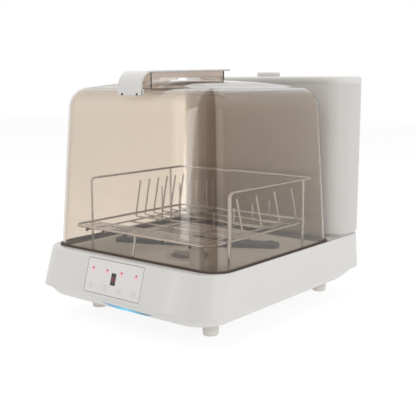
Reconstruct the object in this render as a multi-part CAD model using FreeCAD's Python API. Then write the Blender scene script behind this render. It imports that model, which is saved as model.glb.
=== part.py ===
# Countertop dishwasher: a white base with a wash tub, a smoky lift-off hood with a strap handle,
# a wire dish rack, a spray arm and a water tank at the rear.
# Millimetres, +Z up, +Y to the rear; the origin is on the table, below the middle of the base.
import FreeCAD, Part
import math
import os

V = FreeCAD.Vector

# Overall size
width = 380.0
depth = 480.0
tank_top = 400.0

# Base housing
skirt_edge = 50.0
rim_height = 114.0
front_lean = 18.0
side_lean = 3.0
base_corner = 42.0
base_wall = 3.0
deck_thickness = 3.0
shelf_thickness = 3.0

# Under tray and feet
tray_bottom = 33.0
tray_front_tuck = 16.0
tray_side_tuck = 15.0
tray_rear_tuck = 40.0
tray_wall = 3.0
tray_lip = 3.0
tray_corner = 50.0
tray_gap = 0.8
foot_radius = 13.0
foot_sides = 24
foot_pad = 9.0
foot_side_setback = 65.0
foot_front_setback = 90.0
foot_rear_setback = 59.0

# Well that the hood stands in, and the hood itself
front_ledge = 17.5
side_ledge = 4.5
rear_ledge = 6.5
seal_gap = 1.0
seal_side = 2.0
seal_base = 2.5
seal_lip = 9.0
seal_inner_lip = 1.0
glue_gap = 0.3
foot_drop = 5.0
hood_wall = 3.0
hood_shoulder = 381.0
hood_draft = 15.5
hood_front_draft = 13.5
hood_rear_draft = 10.5
hood_corner = 32.0
hood_crown = 12.0
hood_crown_slope = 36.0

# Handle over the hood's front edge
strap_width = 50.0
strap_thickness = 3.0
strap_stand = 3.0
strap_reach_down = 11.0
strap_pad = 9.0
strap_bend = 17.0
strap_front_rise = 26.0
strap_rear_rise = 31.0
strap_rear_setback = 88.0
channel_width = 43.0
channel_wall = 2.5
channel_front_setback = 20.0
channel_rear_setback = 12.0
grip_front_wall = 62.0
grip_rear_wall = 12.0
grip_height = 9.0
grip_above_crown = 4.0

# Wash tub and sump
tub_side_rim = 14.5
tub_front_rim = 14.5
tub_rear_rim = 14.5
tub_draft = 10.0
tub_floor = 66.0
tub_wall = 2.5
tub_corner = 34.0
flange_gap = 0.5
flange_thickness = 3.0
sump_side = 120.0
sump_rear_setback = 87.0
sump_radius = 40.0
sump_sides = 32
sump_floor = 46.0

# Filter in the sump
filter_radius = 36.0
filter_wall = 1.5
filter_flange = 43.0
filter_flange_thickness = 1.5
filter_height = 17.0
filter_grip = 5.0
filter_sides = 16
filter_slot_width = 4.0
filter_slot_height = 9.0

# Spray arm and its hub
arm_axis_offset = 2.5
arm_side_gap = 22.0
arm_end_gap = 7.5
arm_root_width = 34.0
arm_tip_width = 22.0
arm_thickness = 11.0
arm_bottom = 107.0
arm_angle = 27.0
hub_stem_radius = 10.0
hub_foot_half = 20.0
hub_pin_radius = 6.0
hub_nut = 4.0
nozzle_shares = (0.35, 0.62, 0.9)
arm_running_gap = 0.05
arm_end_float = 0.3
nozzle_radius = 4.0
nozzle_height = 2.0

# Dish rack
rack_wire = 2.0
rack_fine_wire = 1.5
shelf_wire = 1.0
weld_sink = 0.2
rack_side_gap = 17.0
rack_front_gap = 5.0
rack_rear_gap = 12.0
front_post_setback = 48.0
middle_post_setback = 33.0
rack_rail_z = 224.0
rack_rail_bend = 8.0
rack_corner = 20.0
ring_z = 148.0
front_leg_splay = 7.0
left_floor_wires = (41.0, 79.0)
middle_floor_wire = -20.0
right_floor_wires = (91.0, 36.0)
cross_wire_overhang = 6.0
cross_wire_front = 58.0
cross_wire_rear = 24.0
cross_wire_count = 5
shelf_front = 10.0
shelf_pitch = 10.0
shelf_count = 5
shelf_side = 12.0
plate_front = 131.0
plate_rear = 15.0
plate_count = 7
plate_outer_side = 26.0
plate_inner_side = 91.0
plate_outer_top = 215.0
plate_inner_top = 208.0
plate_lean = 13.0
bowl_front = 123.0
bowl_rear = 3.5
bowl_count = 4
bowl_outer_side = 31.0
bowl_inner_side = 89.0
bowl_outer_top = 202.0
bowl_inner_top = 176.0
bowl_lean = 12.0
cap_boot_radius = 2.6
cap_boot_length = 3.0

# Water tank
tank_depth = 99.0
tank_wall = 3.0
tank_front_corner = 40.0
tank_rear_corner = 38.0
tank_foot_gap = 3.0
plinth_inset = 5.0
lid_height = 13.0
lid_bevel = 4.0
cap_rear_setback = 53.0
cap_radius = 22.0
cap_height = 8.0
cap_ribs = 24
cap_plug_radius = 17.0
cap_plug = 9.0
cap_clearance = 0.4
tank_outlet_side = 70.0
tank_outlet_rear = 50.0
tank_spigot_radius = 6.0
tank_spigot = 12.0
valve_size = 26.0
valve_height = 22.0

# Control panel on the front
panel_width = 121.0
panel_height = 54.0
panel_low = 8.0
panel_offset = -7.0
panel_thickness = 2.0
panel_groove = 0.8
panel_corner = 2.0
panel_back_side = 8.0
panel_back_low = 5.0
window_width = 10.5
window_height = 19.5
window_above_panel_low = 16.8
column_spacing = 31.5
light_above_panel_low = 37.4
light_size = 3.2
key_above_panel_low = 6.5
key_size = 8.0
board_gap = 4.0
board_thickness = 1.6
control_board_width = 114.0
control_board_height = 43.0
board_rib = 4.0
board_above_panel_low = 5.0

# Blue light under the front edge
lamp_x = 21.0
lamp_half = 55.0
lamp_low = 38.5
lamp_high = 48.0
lamp_sag = 3.5
lamp_board_thickness = 1.2
lamp_board_half = 34.0
lamp_board_low = 40.0
lamp_board_high = 45.0

# Pumps, heater, hoses and fittings in the rear of the base
pump_setback = 12.0
wash_volute = 30.0
wash_volute_width = 22.0
wash_motor_half = 22.0
wash_motor_length = 34.0
hose_radius = 8.0
hose_rise = 22.0
hose_entry = 15.0
drain_side = 52.0
drain_volute = 17.0
drain_volute_width = 14.0
drain_motor_half = 13.0
drain_motor_length = 26.0
drain_stand = 6.0
drain_hose_radius = 6.0
spigot_length = 6.0
side_spigot = 10.0
hose_bend = 14.0
heater_radius = 15.0
heater_length = 84.0
feed_x = 0.0
feed_z = 50.0
heater_spigot = 2.0
suction_drop = 1.0
pump_sides = 24
heater_sides = 16
outlet_pocket = 24.0
outlet_pocket_depth = 26.0
outlet_length = 20.0
outlet_radius = 6.0
outlet_bore = 4.0
inlet_side = 80.0
inlet_z = 74.0
inlet_width = 28.0
inlet_height = 20.0
inlet_depth = 24.0
inlet_flange = 2.5
inlet_recess = 12.0
inlet_socket_wall = 3.0
main_board_side = 146.0
main_board_setback = 6.0
main_board_length = 80.0
main_board_depth = 54.0
board_post = 6.0
board_post_size = 6.0

# Levels and outlines that follow from the sizes above
half_width = width / 2
half_depth = depth / 2
tank_front = half_depth - side_lean - tank_depth
tank_bottom = rim_height + tank_foot_gap
tank_body_top = tank_top - lid_height
tank_outlet_x = half_width - tank_outlet_side
tank_outlet_y = half_depth - tank_outlet_rear
cap_y = half_depth - cap_rear_setback
foot_x = half_width - foot_side_setback
foot_front_y = -half_depth + foot_front_setback
foot_rear_y = half_depth - foot_rear_setback
hood_foot = rim_height - foot_drop
flange_top = hood_foot - seal_base
shelf_top = flange_top - flange_thickness
well_half = half_width - side_lean - side_ledge
well_front = -half_depth + front_lean + front_ledge
well_rear = tank_front - rear_ledge
hood_half = well_half - seal_gap - seal_side
hood_front = well_front + seal_gap + seal_side
hood_rear = well_rear - seal_gap - seal_side
well_corner = hood_corner + seal_side + seal_gap
tub_half = well_half - tub_side_rim
tub_front = well_front + tub_front_rim
tub_rear = well_rear - tub_rear_rim
hood_top_front = hood_front + hood_front_draft
hood_top_rear = hood_rear - hood_rear_draft
strap_low = hood_shoulder - strap_reach_down
strap_front_top = hood_shoulder + strap_front_rise
strap_rear_top = hood_shoulder + strap_rear_rise
strap_rear = hood_top_rear - strap_rear_setback
channel_front = hood_top_front + channel_front_setback
channel_rear = strap_rear - channel_rear_setback
sump_x = -half_width + sump_side
sump_y = tub_rear - sump_rear_setback
arm_axis_y = (tub_front + tub_rear) / 2 + arm_axis_offset
arm_reach = min(tub_half - arm_side_gap, (tub_rear - tub_front) / 2 - arm_end_gap)
rack_half = tub_half - rack_side_gap
ring_front_y = tub_front + rack_front_gap
rack_rear_y = tub_rear - rack_rear_gap
rack_front_post_y = ring_front_y + front_post_setback
rack_middle_post_y = rack_rear_y - middle_post_setback
floor_wire_z = ring_z - rack_wire - rack_fine_wire
basket_wire_z = floor_wire_z + 2 * rack_fine_wire
floor_wire_x = [-rack_half + x for x in left_floor_wires] + [middle_floor_wire]
floor_wire_x += [rack_half - x for x in right_floor_wires]
pump_face_y = tank_front + pump_setback
hose_rise_y = tank_front - hose_rise
drain_x = -half_width + drain_side
inlet_x = half_width - inlet_side
main_board_x = half_width - main_board_side
main_board_y = tank_front + main_board_setback
tray_floor = tray_bottom + tray_wall
lean_angle = math.degrees(math.atan2(front_lean, rim_height - skirt_edge))
sump_outer = sump_radius + tub_wall
suction_z = tub_floor - tub_wall - hose_radius - suction_drop
wash_z = tray_floor + wash_volute + glue_gap
drain_z = tray_floor + drain_volute + drain_stand
heater_z = wash_z + wash_volute - hose_radius
heater_y = pump_face_y + wash_volute_width / 2
heater_x = sump_x + wash_volute + side_spigot
outlet_x = drain_x + drain_volute + hose_bend
outlet_z = drain_z + drain_volute - drain_hose_radius


# Plain forms used by several pieces

def box(x0, x1, y0, y1, z0, z1):
    return Part.makeBox(x1 - x0, y1 - y0, z1 - z0, V(x0, y0, z0))


def disc(x, y, z0, z1, radius):
    return Part.makeCylinder(radius, z1 - z0, V(x, y, z0))


def fuse(shapes):
    return shapes[0].multiFuse(shapes[1:]).removeSplitter()


def rounded_block(x0, x1, y0, y1, z0, z1, front_radius, rear_radius=None):
    """An upright block with round corners."""
    rear = rear_radius or front_radius
    corners = (
        (x1 - rear, y1 - rear, rear),
        (x0 + rear, y1 - rear, rear),
        (x0 + front_radius, y0 + front_radius, front_radius),
        (x1 - front_radius, y0 + front_radius, front_radius),
    )
    arcs = []
    for index, (x, y, radius) in enumerate(corners):
        directions = [(index + step) * math.pi / 2 for step in (0, 0.5, 1)]
        arcs.append([V(x + radius * math.cos(a), y + radius * math.sin(a), z0) for a in directions])
    edges = []
    for index, points in enumerate(arcs):
        edges.append(Part.Arc(*points).toShape())
        edges.append(Part.LineSegment(points[2], arcs[(index + 1) % 4][0]).toShape())
    return Part.Face(Part.Wire(edges)).extrude(V(0, 0, z1 - z0))


def ribbed_disc(sides, z0, z1, radius):
    """An upright disc with flat sides, whose corners reach the given radius."""
    points = []
    for index in range(sides + 1):
        angle = 2 * math.pi * index / sides
        points.append(V(radius * math.cos(angle), radius * math.sin(angle), z0))
    return Part.Face(Part.makePolygon(points)).extrude(V(0, 0, z1 - z0))


def drafted_block(low, high):
    """A block with flat leaning sides between two level rectangles (x0, x1, y0, y1, z)."""
    def corners(rectangle):
        x0, x1, y0, y1, z = rectangle
        return [V(x0, y0, z), V(x1, y0, z), V(x1, y1, z), V(x0, y1, z)]

    bottom = corners(low)
    top = corners(high)
    faces = [
        Part.Face(Part.makePolygon(bottom[::-1] + [bottom[3]])),
        Part.Face(Part.makePolygon(top + [top[0]])),
    ]
    for index in range(4):
        after = (index + 1) % 4
        side = [bottom[index], bottom[after], top[after], top[index], bottom[index]]
        faces.append(Part.Face(Part.makePolygon(side)))
    return Part.Solid(Part.Shell(faces))


def upright_edges(block):
    """The edges that run between the block's lowest and highest faces."""
    height = block.BoundBox.ZLength
    return [edge for edge in block.Edges if edge.BoundBox.ZLength > 0.9 * height]


def bend_points(before, corner, after, bend):
    """Where a bend of this radius starts and ends, and its centre and middle."""
    back = (before - corner).normalize()
    ahead = (after - corner).normalize()
    half = back.getAngle(ahead) / 2
    inward = (back + ahead).normalize()
    first = corner + back * (bend / math.tan(half))
    last = corner + ahead * (bend / math.tan(half))
    centre = corner + inward * (bend / math.sin(half))
    return first, last, centre, centre - inward * bend


def wire_section(centre, direction, radius, sides=8):
    """A flat-sided section with its flats at the wire's or hose's radius."""
    along = V(direction).normalize()
    reference = V(0, 1, 0) if abs(along.y) < 0.7 else V(1, 0, 0)
    side = along.cross(reference).normalize()
    other = along.cross(side)
    reach = radius / math.cos(math.pi / sides)
    points = []
    for index in range(sides + 1):
        angle = (2 * index + 1) * math.pi / sides
        points.append(centre + side * (reach * math.cos(angle)) + other * (reach * math.sin(angle)))
    return Part.Face(Part.makePolygon(points))


def straight_wire(start, end, radius, sides=8):
    return wire_section(start, end - start, radius, sides).extrude(end - start)


def bent_wire(points, radius, bend):
    """A wire or hose through the points; its runs lie so that the sections line up."""
    pieces = []
    start = points[0]
    for before, corner, after in zip(points, points[1:], points[2:]):
        first, last, centre, middle = bend_points(before, corner, after, bend)
        pieces.append(straight_wire(start, first, radius))
        axis = (first - centre).cross(last - centre)
        turn = math.degrees((first - centre).getAngle(last - centre))
        pieces.append(wire_section(first, first - start, radius).revolve(centre, axis, turn))
        start = last
    pieces.append(straight_wire(start, points[-1], radius))
    return fuse(pieces)


def on_front(shape):
    """Takes a shape from the upright plane Y = 0 to the leaning front, where X = 0 is the panel's middle."""
    placed = shape.copy()
    placed.rotate(V(0, 0, 0), V(1, 0, 0), -lean_angle)
    placed.translate(V(panel_offset, -half_depth, skirt_edge))
    return placed


# Base housing, tray and feet

def lean_rectangle(z, inset):
    share = (z - skirt_edge) / (rim_height - skirt_edge)
    half = half_width - side_lean * share - inset
    front = -half_depth + front_lean * share + inset
    rear = half_depth - side_lean * share - inset
    return (-half, half, front, rear, z)


def housing_form(z0, z1, inset):
    block = drafted_block(lean_rectangle(z0, inset), lean_rectangle(z1, inset))
    return block.makeFillet(base_corner - inset, upright_edges(block))


def well_form(z0, z1, grow=0.0):
    return rounded_block(
        -well_half - grow, well_half + grow, well_front - grow, well_rear + grow,
        z0, z1, well_corner + grow,
    )


def tub_form(z0, z1, grow):
    """The tub's inside, which narrows to its floor, or that form grown by a wall."""
    share = (flange_top - z0) / (flange_top - tub_floor)
    tuck = tub_draft * share
    half = tub_half + grow
    low = (-half + tuck, half - tuck, tub_front - grow + tuck, tub_rear + grow - tuck, z0)
    high = (-half, half, tub_front - grow, tub_rear + grow, z1)
    block = drafted_block(low, high)
    return block.makeFillet(tub_corner + grow, upright_edges(block))


def panel_plate(grow, thickness):
    """The panel's outline as a plate that reaches inward from the front."""
    half = panel_width / 2 + grow
    plate = rounded_block(
        -half, half, panel_low - grow, panel_low + panel_height + grow, 0, thickness, panel_corner,
    )
    plate.rotate(V(0, 0, 0), V(1, 0, 0), 90)
    plate.translate(V(0, thickness, 0))
    return plate


def panel_columns():
    return [column_spacing * (index - 1.5) for index in range(4)]


def front_box(x, above_panel_low, across, height, y0, y1):
    low = panel_low + above_panel_low
    return box(x - across / 2, x + across / 2, y0, y1, low, low + height)


def outlet_pocket_form(grow, rear_end):
    reach = outlet_pocket / 2 + grow
    rear = lean_rectangle(outlet_z, 0)[3]
    return box(
        outlet_x - reach, outlet_x + reach, rear - outlet_pocket_depth - grow, rear_end,
        outlet_z - reach, outlet_z + reach,
    )


def inlet_opening(grow, y0, y1):
    half = inlet_width / 2 + grow
    return box(
        inlet_x - half, inlet_x + half, y0, y1,
        inlet_z - inlet_height / 2 - grow, inlet_z + inlet_height / 2 + grow,
    )


def base_housing():
    shell = housing_form(skirt_edge, rim_height, 0)
    shell = shell.cut(housing_form(skirt_edge - 1, rim_height - deck_thickness, base_wall))
    shelf = well_form(shelf_top - shelf_thickness, rim_height - 1, base_wall)
    plinth = rounded_block(
        -half_width + side_lean + plinth_inset, half_width - side_lean - plinth_inset,
        tank_front + plinth_inset, half_depth - side_lean - plinth_inset,
        rim_height - 1, tank_bottom, tank_front_corner - plinth_inset,
    )
    pocket = outlet_pocket_form(base_wall, lean_rectangle(rim_height, 0)[3])
    pieces = [shell, shelf, plinth, pocket]
    for side in (-1, 1):
        rib_x = side * (control_board_width - board_rib) / 2
        pieces.append(on_front(front_box(
            rib_x, board_above_panel_low, board_rib, control_board_height,
            base_wall / 2, base_wall + board_gap,
        )))
    body = fuse(pieces)
    opening_half = tub_half + tub_wall + flange_gap
    tub_way = rounded_block(
        -opening_half, opening_half, tub_front - tub_wall - flange_gap, tub_rear + tub_wall + flange_gap,
        shelf_top - shelf_thickness - 1, shelf_top + 1, tub_corner,
    )
    panel_back = front_box(
        0, panel_back_low, panel_width - 2 * panel_back_side,
        panel_height - 2 * panel_back_low, panel_thickness / 2, base_wall + 1,
    )
    body = body.cut(well_form(shelf_top, tank_bottom + 1)).cut(tub_way)
    body = body.cut(outlet_pocket_form(0, half_depth + 1))
    body = body.cut(straight_wire(
        V(outlet_x, half_depth - outlet_pocket_depth - 4 * base_wall, outlet_z),
        V(outlet_x, half_depth, outlet_z), outlet_radius + glue_gap,
    ))
    body = body.cut(inlet_opening(0, half_depth - 4 * base_wall, half_depth + 1))
    body = body.cut(disc(
        tank_outlet_x, tank_outlet_y, rim_height - 2 * deck_thickness, tank_bottom + 1,
        tank_spigot_radius + glue_gap,
    ))
    return body.cut(on_front(panel_plate(panel_groove, panel_thickness))).cut(on_front(panel_back))


def tray_form(inset):
    low = (
        -half_width + tray_side_tuck + inset, half_width - tray_side_tuck - inset,
        -half_depth + tray_front_tuck + inset, half_depth - tray_rear_tuck - inset,
        tray_bottom + inset,
    )
    high = lean_rectangle(skirt_edge + tray_lip, base_wall + tray_gap + inset)
    block = drafted_block(low, high)
    return block.makeFillet(tray_corner - inset, upright_edges(block))


def lamp_form():
    """A crescent that lies under the front edge, as a block through the tray's front slope."""
    left = V(-lamp_half, 0, lamp_high)
    right = V(lamp_half, 0, lamp_high)
    lower = Part.Arc(left, V(0, 0, lamp_low), right).toShape()
    upper = Part.Arc(right, V(0, 0, lamp_high - lamp_sag), left).toShape()
    crescent = Part.Face(Part.Wire([lower, upper])).extrude(V(0, 2 * tray_front_tuck, 0))
    crescent.translate(V(lamp_x, -half_depth, 0))
    return crescent


def foot_places():
    return [(x, y) for y in (foot_front_y, foot_rear_y) for x in (-foot_x, foot_x)]


def under_tray():
    tray = tray_form(0).cut(tray_form(tray_wall))
    legs = []
    for x, y in foot_places():
        leg = ribbed_disc(foot_sides, foot_pad, tray_floor, foot_radius)
        leg.translate(V(x, y, 0))
        legs.append(leg)
    posts = []
    for x in (main_board_x, main_board_x + main_board_length - board_post_size):
        posts.append(box(
            x, x + board_post_size, main_board_y, main_board_y + main_board_depth,
            tray_bottom + 1, tray_floor + board_post,
        ))
    return fuse([tray] + legs + posts).cut(lamp_form())


def feet():
    pads = []
    for x, y in foot_places():
        pad = ribbed_disc(foot_sides, 0, foot_pad, foot_radius)
        pad.translate(V(x, y, 0))
        pads.append(pad)
    return Part.makeCompound(pads)


# Hood, seal and handle

def hood_rectangle(z, inset):
    share = (z - hood_foot) / (hood_shoulder - hood_foot)
    half = hood_half - hood_draft * share - inset
    front = hood_front + hood_front_draft * share + inset
    rear = hood_rear - hood_rear_draft * share - inset
    return (-half, half, front, rear, z)


def hood_form(z0, inset):
    """Leaning walls with round edges under a shallow crowned top."""
    top = hood_shoulder - inset
    block = drafted_block(hood_rectangle(z0, inset), hood_rectangle(top, inset))
    edges = upright_edges(block)
    edges += [edge for edge in block.Edges if edge.BoundBox.ZMin > top - 0.1]
    walls = block.makeFillet(hood_corner - inset, edges)
    x0, x1, y0, y1, _ = hood_rectangle(top, hood_corner)
    foot = (x0, x1, y0, y1, top)
    slope = hood_crown_slope
    crown = drafted_block(foot, (x0 + slope, x1 - slope, y0 + slope, y1 - slope, top + hood_crown))
    return walls.fuse(crown).removeSplitter()


def hood_shell():
    return hood_form(hood_foot, 0).cut(hood_form(hood_foot - 1, hood_wall))


def hood_foot_outline(grow, z0, z1):
    return rounded_block(
        -hood_half - grow, hood_half + grow, hood_front - grow, hood_rear + grow,
        z0, z1, hood_corner + grow,
    )


def hood_seal():
    ring = hood_foot_outline(seal_side, flange_top, flange_top + seal_lip)
    ring = ring.cut(hood_foot_outline(glue_gap, hood_foot, rim_height + seal_lip))
    return ring.cut(hood_foot_outline(-hood_wall - seal_inner_lip, flange_top - 1, hood_foot + 1))


def strap_side(offset):
    """Side line of the strap: up before the hood's front, over the edge and back along the top."""
    front = hood_rectangle(strap_low, 0)[2] - strap_stand - strap_thickness + offset
    low = V(0, front, strap_low)
    corner = V(0, front, strap_front_top - offset)
    far = V(0, strap_rear, strap_rear_top - offset)
    first, last, centre, middle = bend_points(low, corner, far, strap_bend - offset)
    return low, first, middle, last, far


def hood_strap():
    outer = strap_side(0)
    inner = strap_side(strap_thickness)
    edges = [
        Part.LineSegment(outer[0], outer[1]).toShape(),
        Part.Arc(outer[1], outer[2], outer[3]).toShape(),
        Part.LineSegment(outer[3], outer[4]).toShape(),
        Part.LineSegment(outer[4], inner[4]).toShape(),
        Part.LineSegment(inner[4], inner[3]).toShape(),
        Part.Arc(inner[3], inner[2], inner[1]).toShape(),
        Part.LineSegment(inner[1], inner[0]).toShape(),
        Part.LineSegment(inner[0], outer[0]).toShape(),
    ]
    strap = Part.Face(Part.Wire(edges)).extrude(V(strap_width, 0, 0))
    strap.translate(V(-strap_width / 2, 0, 0))
    pad = box(
        -strap_width / 2, strap_width / 2, outer[0].y, outer[0].y + strap_thickness + 2 * strap_stand,
        strap_low, strap_low + strap_pad,
    )
    hood = drafted_block(hood_rectangle(hood_foot, 0), hood_rectangle(hood_shoulder, 0))
    return fuse([strap, pad.cut(hood)])


def handle_channel():
    """Smoky walls that stand on the crowned top and carry the strap, with a finger slot each side."""
    half = channel_width / 2
    bend_end, far = strap_side(strap_thickness)[3:]
    slope = (far.z - bend_end.z) / (far.y - bend_end.y)
    low = hood_shoulder - hood_corner / 2
    front_high = bend_end.z + slope * (channel_front - bend_end.y)
    rear_high = bend_end.z + slope * (channel_rear - bend_end.y)
    side = Part.makePolygon([
        V(-half, channel_front, low), V(-half, channel_rear, low),
        V(-half, channel_rear, rear_high), V(-half, channel_front, front_high),
        V(-half, channel_front, low),
    ])
    walls = Part.Face(side).extrude(V(channel_width, 0, 0))
    inside = box(
        -half + channel_wall, half - channel_wall, channel_front + channel_wall,
        channel_rear - channel_wall, low - 1, strap_rear_top,
    )
    grip_top = hood_shoulder + hood_crown + grip_above_crown
    grip = box(
        -half - 1, half + 1, channel_front + grip_front_wall, channel_rear - grip_rear_wall,
        grip_top - grip_height, grip_top,
    )
    ends = [edge for edge in grip.Edges if edge.BoundBox.XLength > channel_width]
    grip = grip.makeFillet(grip_height / 2 - 0.1, ends)
    return walls.cut(inside).cut(grip).cut(hood_form(hood_foot, -glue_gap))


# Wash tub, filter and spray arm

def wash_tub():
    outer = tub_form(tub_floor - tub_wall, shelf_top, tub_wall)
    flange = well_form(shelf_top, flange_top, -flange_gap)
    sump = ribbed_disc(sump_sides, sump_floor - tub_wall, tub_floor, sump_outer)
    sump.translate(V(sump_x, sump_y, 0))
    pit = ribbed_disc(sump_sides, sump_floor, tub_floor + 1, sump_radius)
    pit.translate(V(sump_x, sump_y, 0))
    suction = straight_wire(
        V(sump_x, sump_y, suction_z), V(sump_x, sump_y + sump_outer + side_spigot, suction_z),
        hose_radius,
    )
    drain = straight_wire(
        V(sump_x, sump_y, suction_z), V(sump_x - sump_outer - side_spigot / 2, sump_y, suction_z),
        drain_hose_radius,
    )
    fill_z = tank_bottom - deck_thickness - tank_spigot - valve_height / 2
    fill = straight_wire(
        V(tank_outlet_x, tub_rear - tub_draft, fill_z),
        V(tank_outlet_x, tub_rear + tub_wall + spigot_length, fill_z), drain_hose_radius,
    )
    body = fuse([outer, flange, sump, suction, drain, fill])
    body = body.cut(tub_form(tub_floor, flange_top, 0))
    body = body.cut(pit)
    return body.cut(straight_wire(
        V(0, arm_axis_y, sump_floor), V(0, arm_axis_y, tub_floor + 1), hub_stem_radius + glue_gap,
    ))


def filter_basket():
    bottom = tub_floor - filter_height
    top = tub_floor + filter_flange_thickness
    cup = ribbed_disc(filter_sides, bottom, top, filter_radius)
    flange = ribbed_disc(filter_sides, tub_floor, top, filter_flange)
    inside = ribbed_disc(filter_sides, bottom + filter_wall, top + 1, filter_radius - filter_wall)
    slots = []
    for index in range(filter_sides // 2):
        slot = box(
            -filter_radius - 1, filter_radius + 1, -filter_slot_width / 2, filter_slot_width / 2,
            bottom + 2 * filter_wall, bottom + 2 * filter_wall + filter_slot_height,
        )
        slot.rotate(V(0, 0, 0), V(0, 0, 1), 360 * (index + 0.5) / filter_sides)
        slots.append(slot)
    cup = fuse([cup, flange]).cut(inside).cut(Part.makeCompound(slots))
    reach = filter_radius - filter_wall / 2
    bar = box(-reach, reach, -filter_wall, filter_wall, tub_floor, top + filter_grip)
    basket = fuse([cup, bar])
    basket.translate(V(sump_x, sump_y, 0))
    return basket


def arm_hub():
    """Stem from the feed hose up through the tub floor, with a shoulder and the arm's pin."""
    under = box(
        -hub_foot_half, hub_foot_half, arm_axis_y - hub_foot_half, arm_axis_y + hub_foot_half,
        feed_z - hose_radius, tub_floor - tub_wall,
    )
    stem = straight_wire(
        V(0, arm_axis_y, feed_z), V(0, arm_axis_y, arm_bottom - arm_end_float), hub_stem_radius,
    )
    pin_top = arm_bottom + arm_thickness + hub_nut
    pin = disc(0, arm_axis_y, arm_bottom - 1, pin_top, hub_pin_radius)
    nut = straight_wire(
        V(0, arm_axis_y, arm_bottom + arm_thickness + arm_end_float), V(0, arm_axis_y, pin_top),
        hub_stem_radius,
    )
    spigot = straight_wire(
        V(0, arm_axis_y, feed_z), V(0, arm_axis_y + hub_foot_half + spigot_length, feed_z),
        hose_radius,
    )
    return fuse([under, stem, pin, spigot, nut])


def arm_blade(direction):
    """Half of the spray arm, which narrows to a round tip."""
    tip = arm_tip_width / 2
    root = arm_root_width / 2
    tip_x = arm_reach - tip
    points = [V(0, -root, 0), V(tip_x, -tip, 0), V(arm_reach, 0, 0), V(tip_x, tip, 0), V(0, root, 0)]
    edges = [
        Part.LineSegment(points[0], points[1]).toShape(),
        Part.Arc(points[1], points[2], points[3]).toShape(),
        Part.LineSegment(points[3], points[4]).toShape(),
        Part.LineSegment(points[4], points[0]).toShape(),
    ]
    blade = Part.Face(Part.Wire(edges)).extrude(V(0, 0, arm_thickness))
    nozzles = []
    for share in nozzle_shares:
        x = share * arm_reach
        y = (1 - share) * direction * tip
        nozzles.append(straight_wire(
            V(x, y, arm_thickness - 1), V(x, y, arm_thickness + nozzle_height), nozzle_radius,
        ))
    blade = fuse([blade] + nozzles)
    blade.rotate(V(0, 0, 0), V(0, 0, 1), 90 - 90 * direction)
    return blade


def spray_arm():
    arm = fuse([arm_blade(1), arm_blade(-1)])
    arm = arm.cut(disc(0, 0, -1, arm_thickness + 1, hub_pin_radius + arm_running_gap))
    arm.rotate(V(0, 0, 0), V(0, 0, 1), arm_angle)
    arm.translate(V(0, arm_axis_y, arm_bottom))
    return arm


# Dish rack

def rack_frame():
    """The rail and its front posts are one bent wire; the ring, middle posts and leg are welded on."""
    foot_z = tub_floor
    rail = bent_wire([
        V(-rack_half, rack_front_post_y, foot_z), V(-rack_half, rack_front_post_y, rack_rail_z),
        V(-rack_half, rack_rear_y, rack_rail_z), V(rack_half, rack_rear_y, rack_rail_z),
        V(rack_half, rack_front_post_y, rack_rail_z), V(rack_half, rack_front_post_y, foot_z),
    ], rack_wire, rack_rail_bend)
    ring_half = rack_half - 2 * rack_wire + weld_sink
    ring_rear = rack_rear_y
    ring = bent_wire([
        V(0, ring_front_y, ring_z), V(ring_half, ring_front_y, ring_z),
        V(ring_half, ring_rear, ring_z), V(-ring_half, ring_rear, ring_z),
        V(-ring_half, ring_front_y, ring_z), V(0, ring_front_y, ring_z),
    ], rack_wire, rack_corner)
    pieces = [rail, ring]
    for side in (-1, 1):
        pieces.append(straight_wire(
            V(side * rack_half, rack_middle_post_y, foot_z),
            V(side * rack_half, rack_middle_post_y, rack_rail_z), rack_wire,
        ))
    pieces.append(straight_wire(
        V(0, ring_front_y, ring_z), V(0, ring_front_y - front_leg_splay, flange_top + rack_wire),
        rack_wire,
    ))
    return fuse(pieces)


def spread(front, rear, count):
    """Places from front to rear of the rack, evenly between its two setbacks."""
    first = ring_front_y + front
    pitch = (rack_rear_y - rear - first) / (count - 1)
    return [first + pitch * index for index in range(count)]


def rack_floor():
    wires = []
    cross_z = floor_wire_z - 2 * rack_fine_wire + weld_sink
    for x in floor_wire_x:
        wires.append(straight_wire(
            V(x, ring_front_y - rack_wire, floor_wire_z), V(x, rack_rear_y, floor_wire_z),
            rack_fine_wire,
        ))
    left = floor_wire_x[0] - cross_wire_overhang
    right = floor_wire_x[-1] + cross_wire_overhang
    for y in spread(cross_wire_front, cross_wire_rear, cross_wire_count):
        wires.append(straight_wire(V(left, y, cross_z), V(right, y, cross_z), rack_fine_wire))
    return fuse(wires)


def rack_shelf():
    """Fine wires across the front of the rack, on top of the lengthwise ones."""
    z = floor_wire_z + rack_fine_wire + shelf_wire
    reach = rack_half - shelf_side
    wires = []
    for index in range(shelf_count):
        y = ring_front_y + shelf_front + index * shelf_pitch
        wires.append(straight_wire(V(-reach, y, z), V(reach, y, z), shelf_wire))
    return Part.makeCompound(wires)


def dish_wire(y, outer_x, inner_x, outer_top, inner_top, lean):
    """One wire across the rack floor with its two ends turned up as prongs."""
    toward = math.copysign(1, inner_x - outer_x)
    sink = rack_fine_wire
    floor_run = straight_wire(
        V(outer_x - toward * sink, y, basket_wire_z), V(inner_x + toward * sink, y, basket_wire_z),
        rack_fine_wire,
    )
    outer = straight_wire(
        V(outer_x, y, basket_wire_z), V(outer_x + toward * lean, y, outer_top), rack_fine_wire,
    )
    inner = straight_wire(V(inner_x, y, basket_wire_z), V(inner_x, y, inner_top), rack_fine_wire)
    return fuse([floor_run, outer, inner])


def plate_prongs():
    wires = []
    for y in spread(plate_front, plate_rear, plate_count):
        wires.append(dish_wire(
            y, -rack_half + plate_outer_side, -rack_half + plate_inner_side,
            plate_outer_top, plate_inner_top, plate_lean,
        ))
    return Part.makeCompound(wires)


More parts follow.
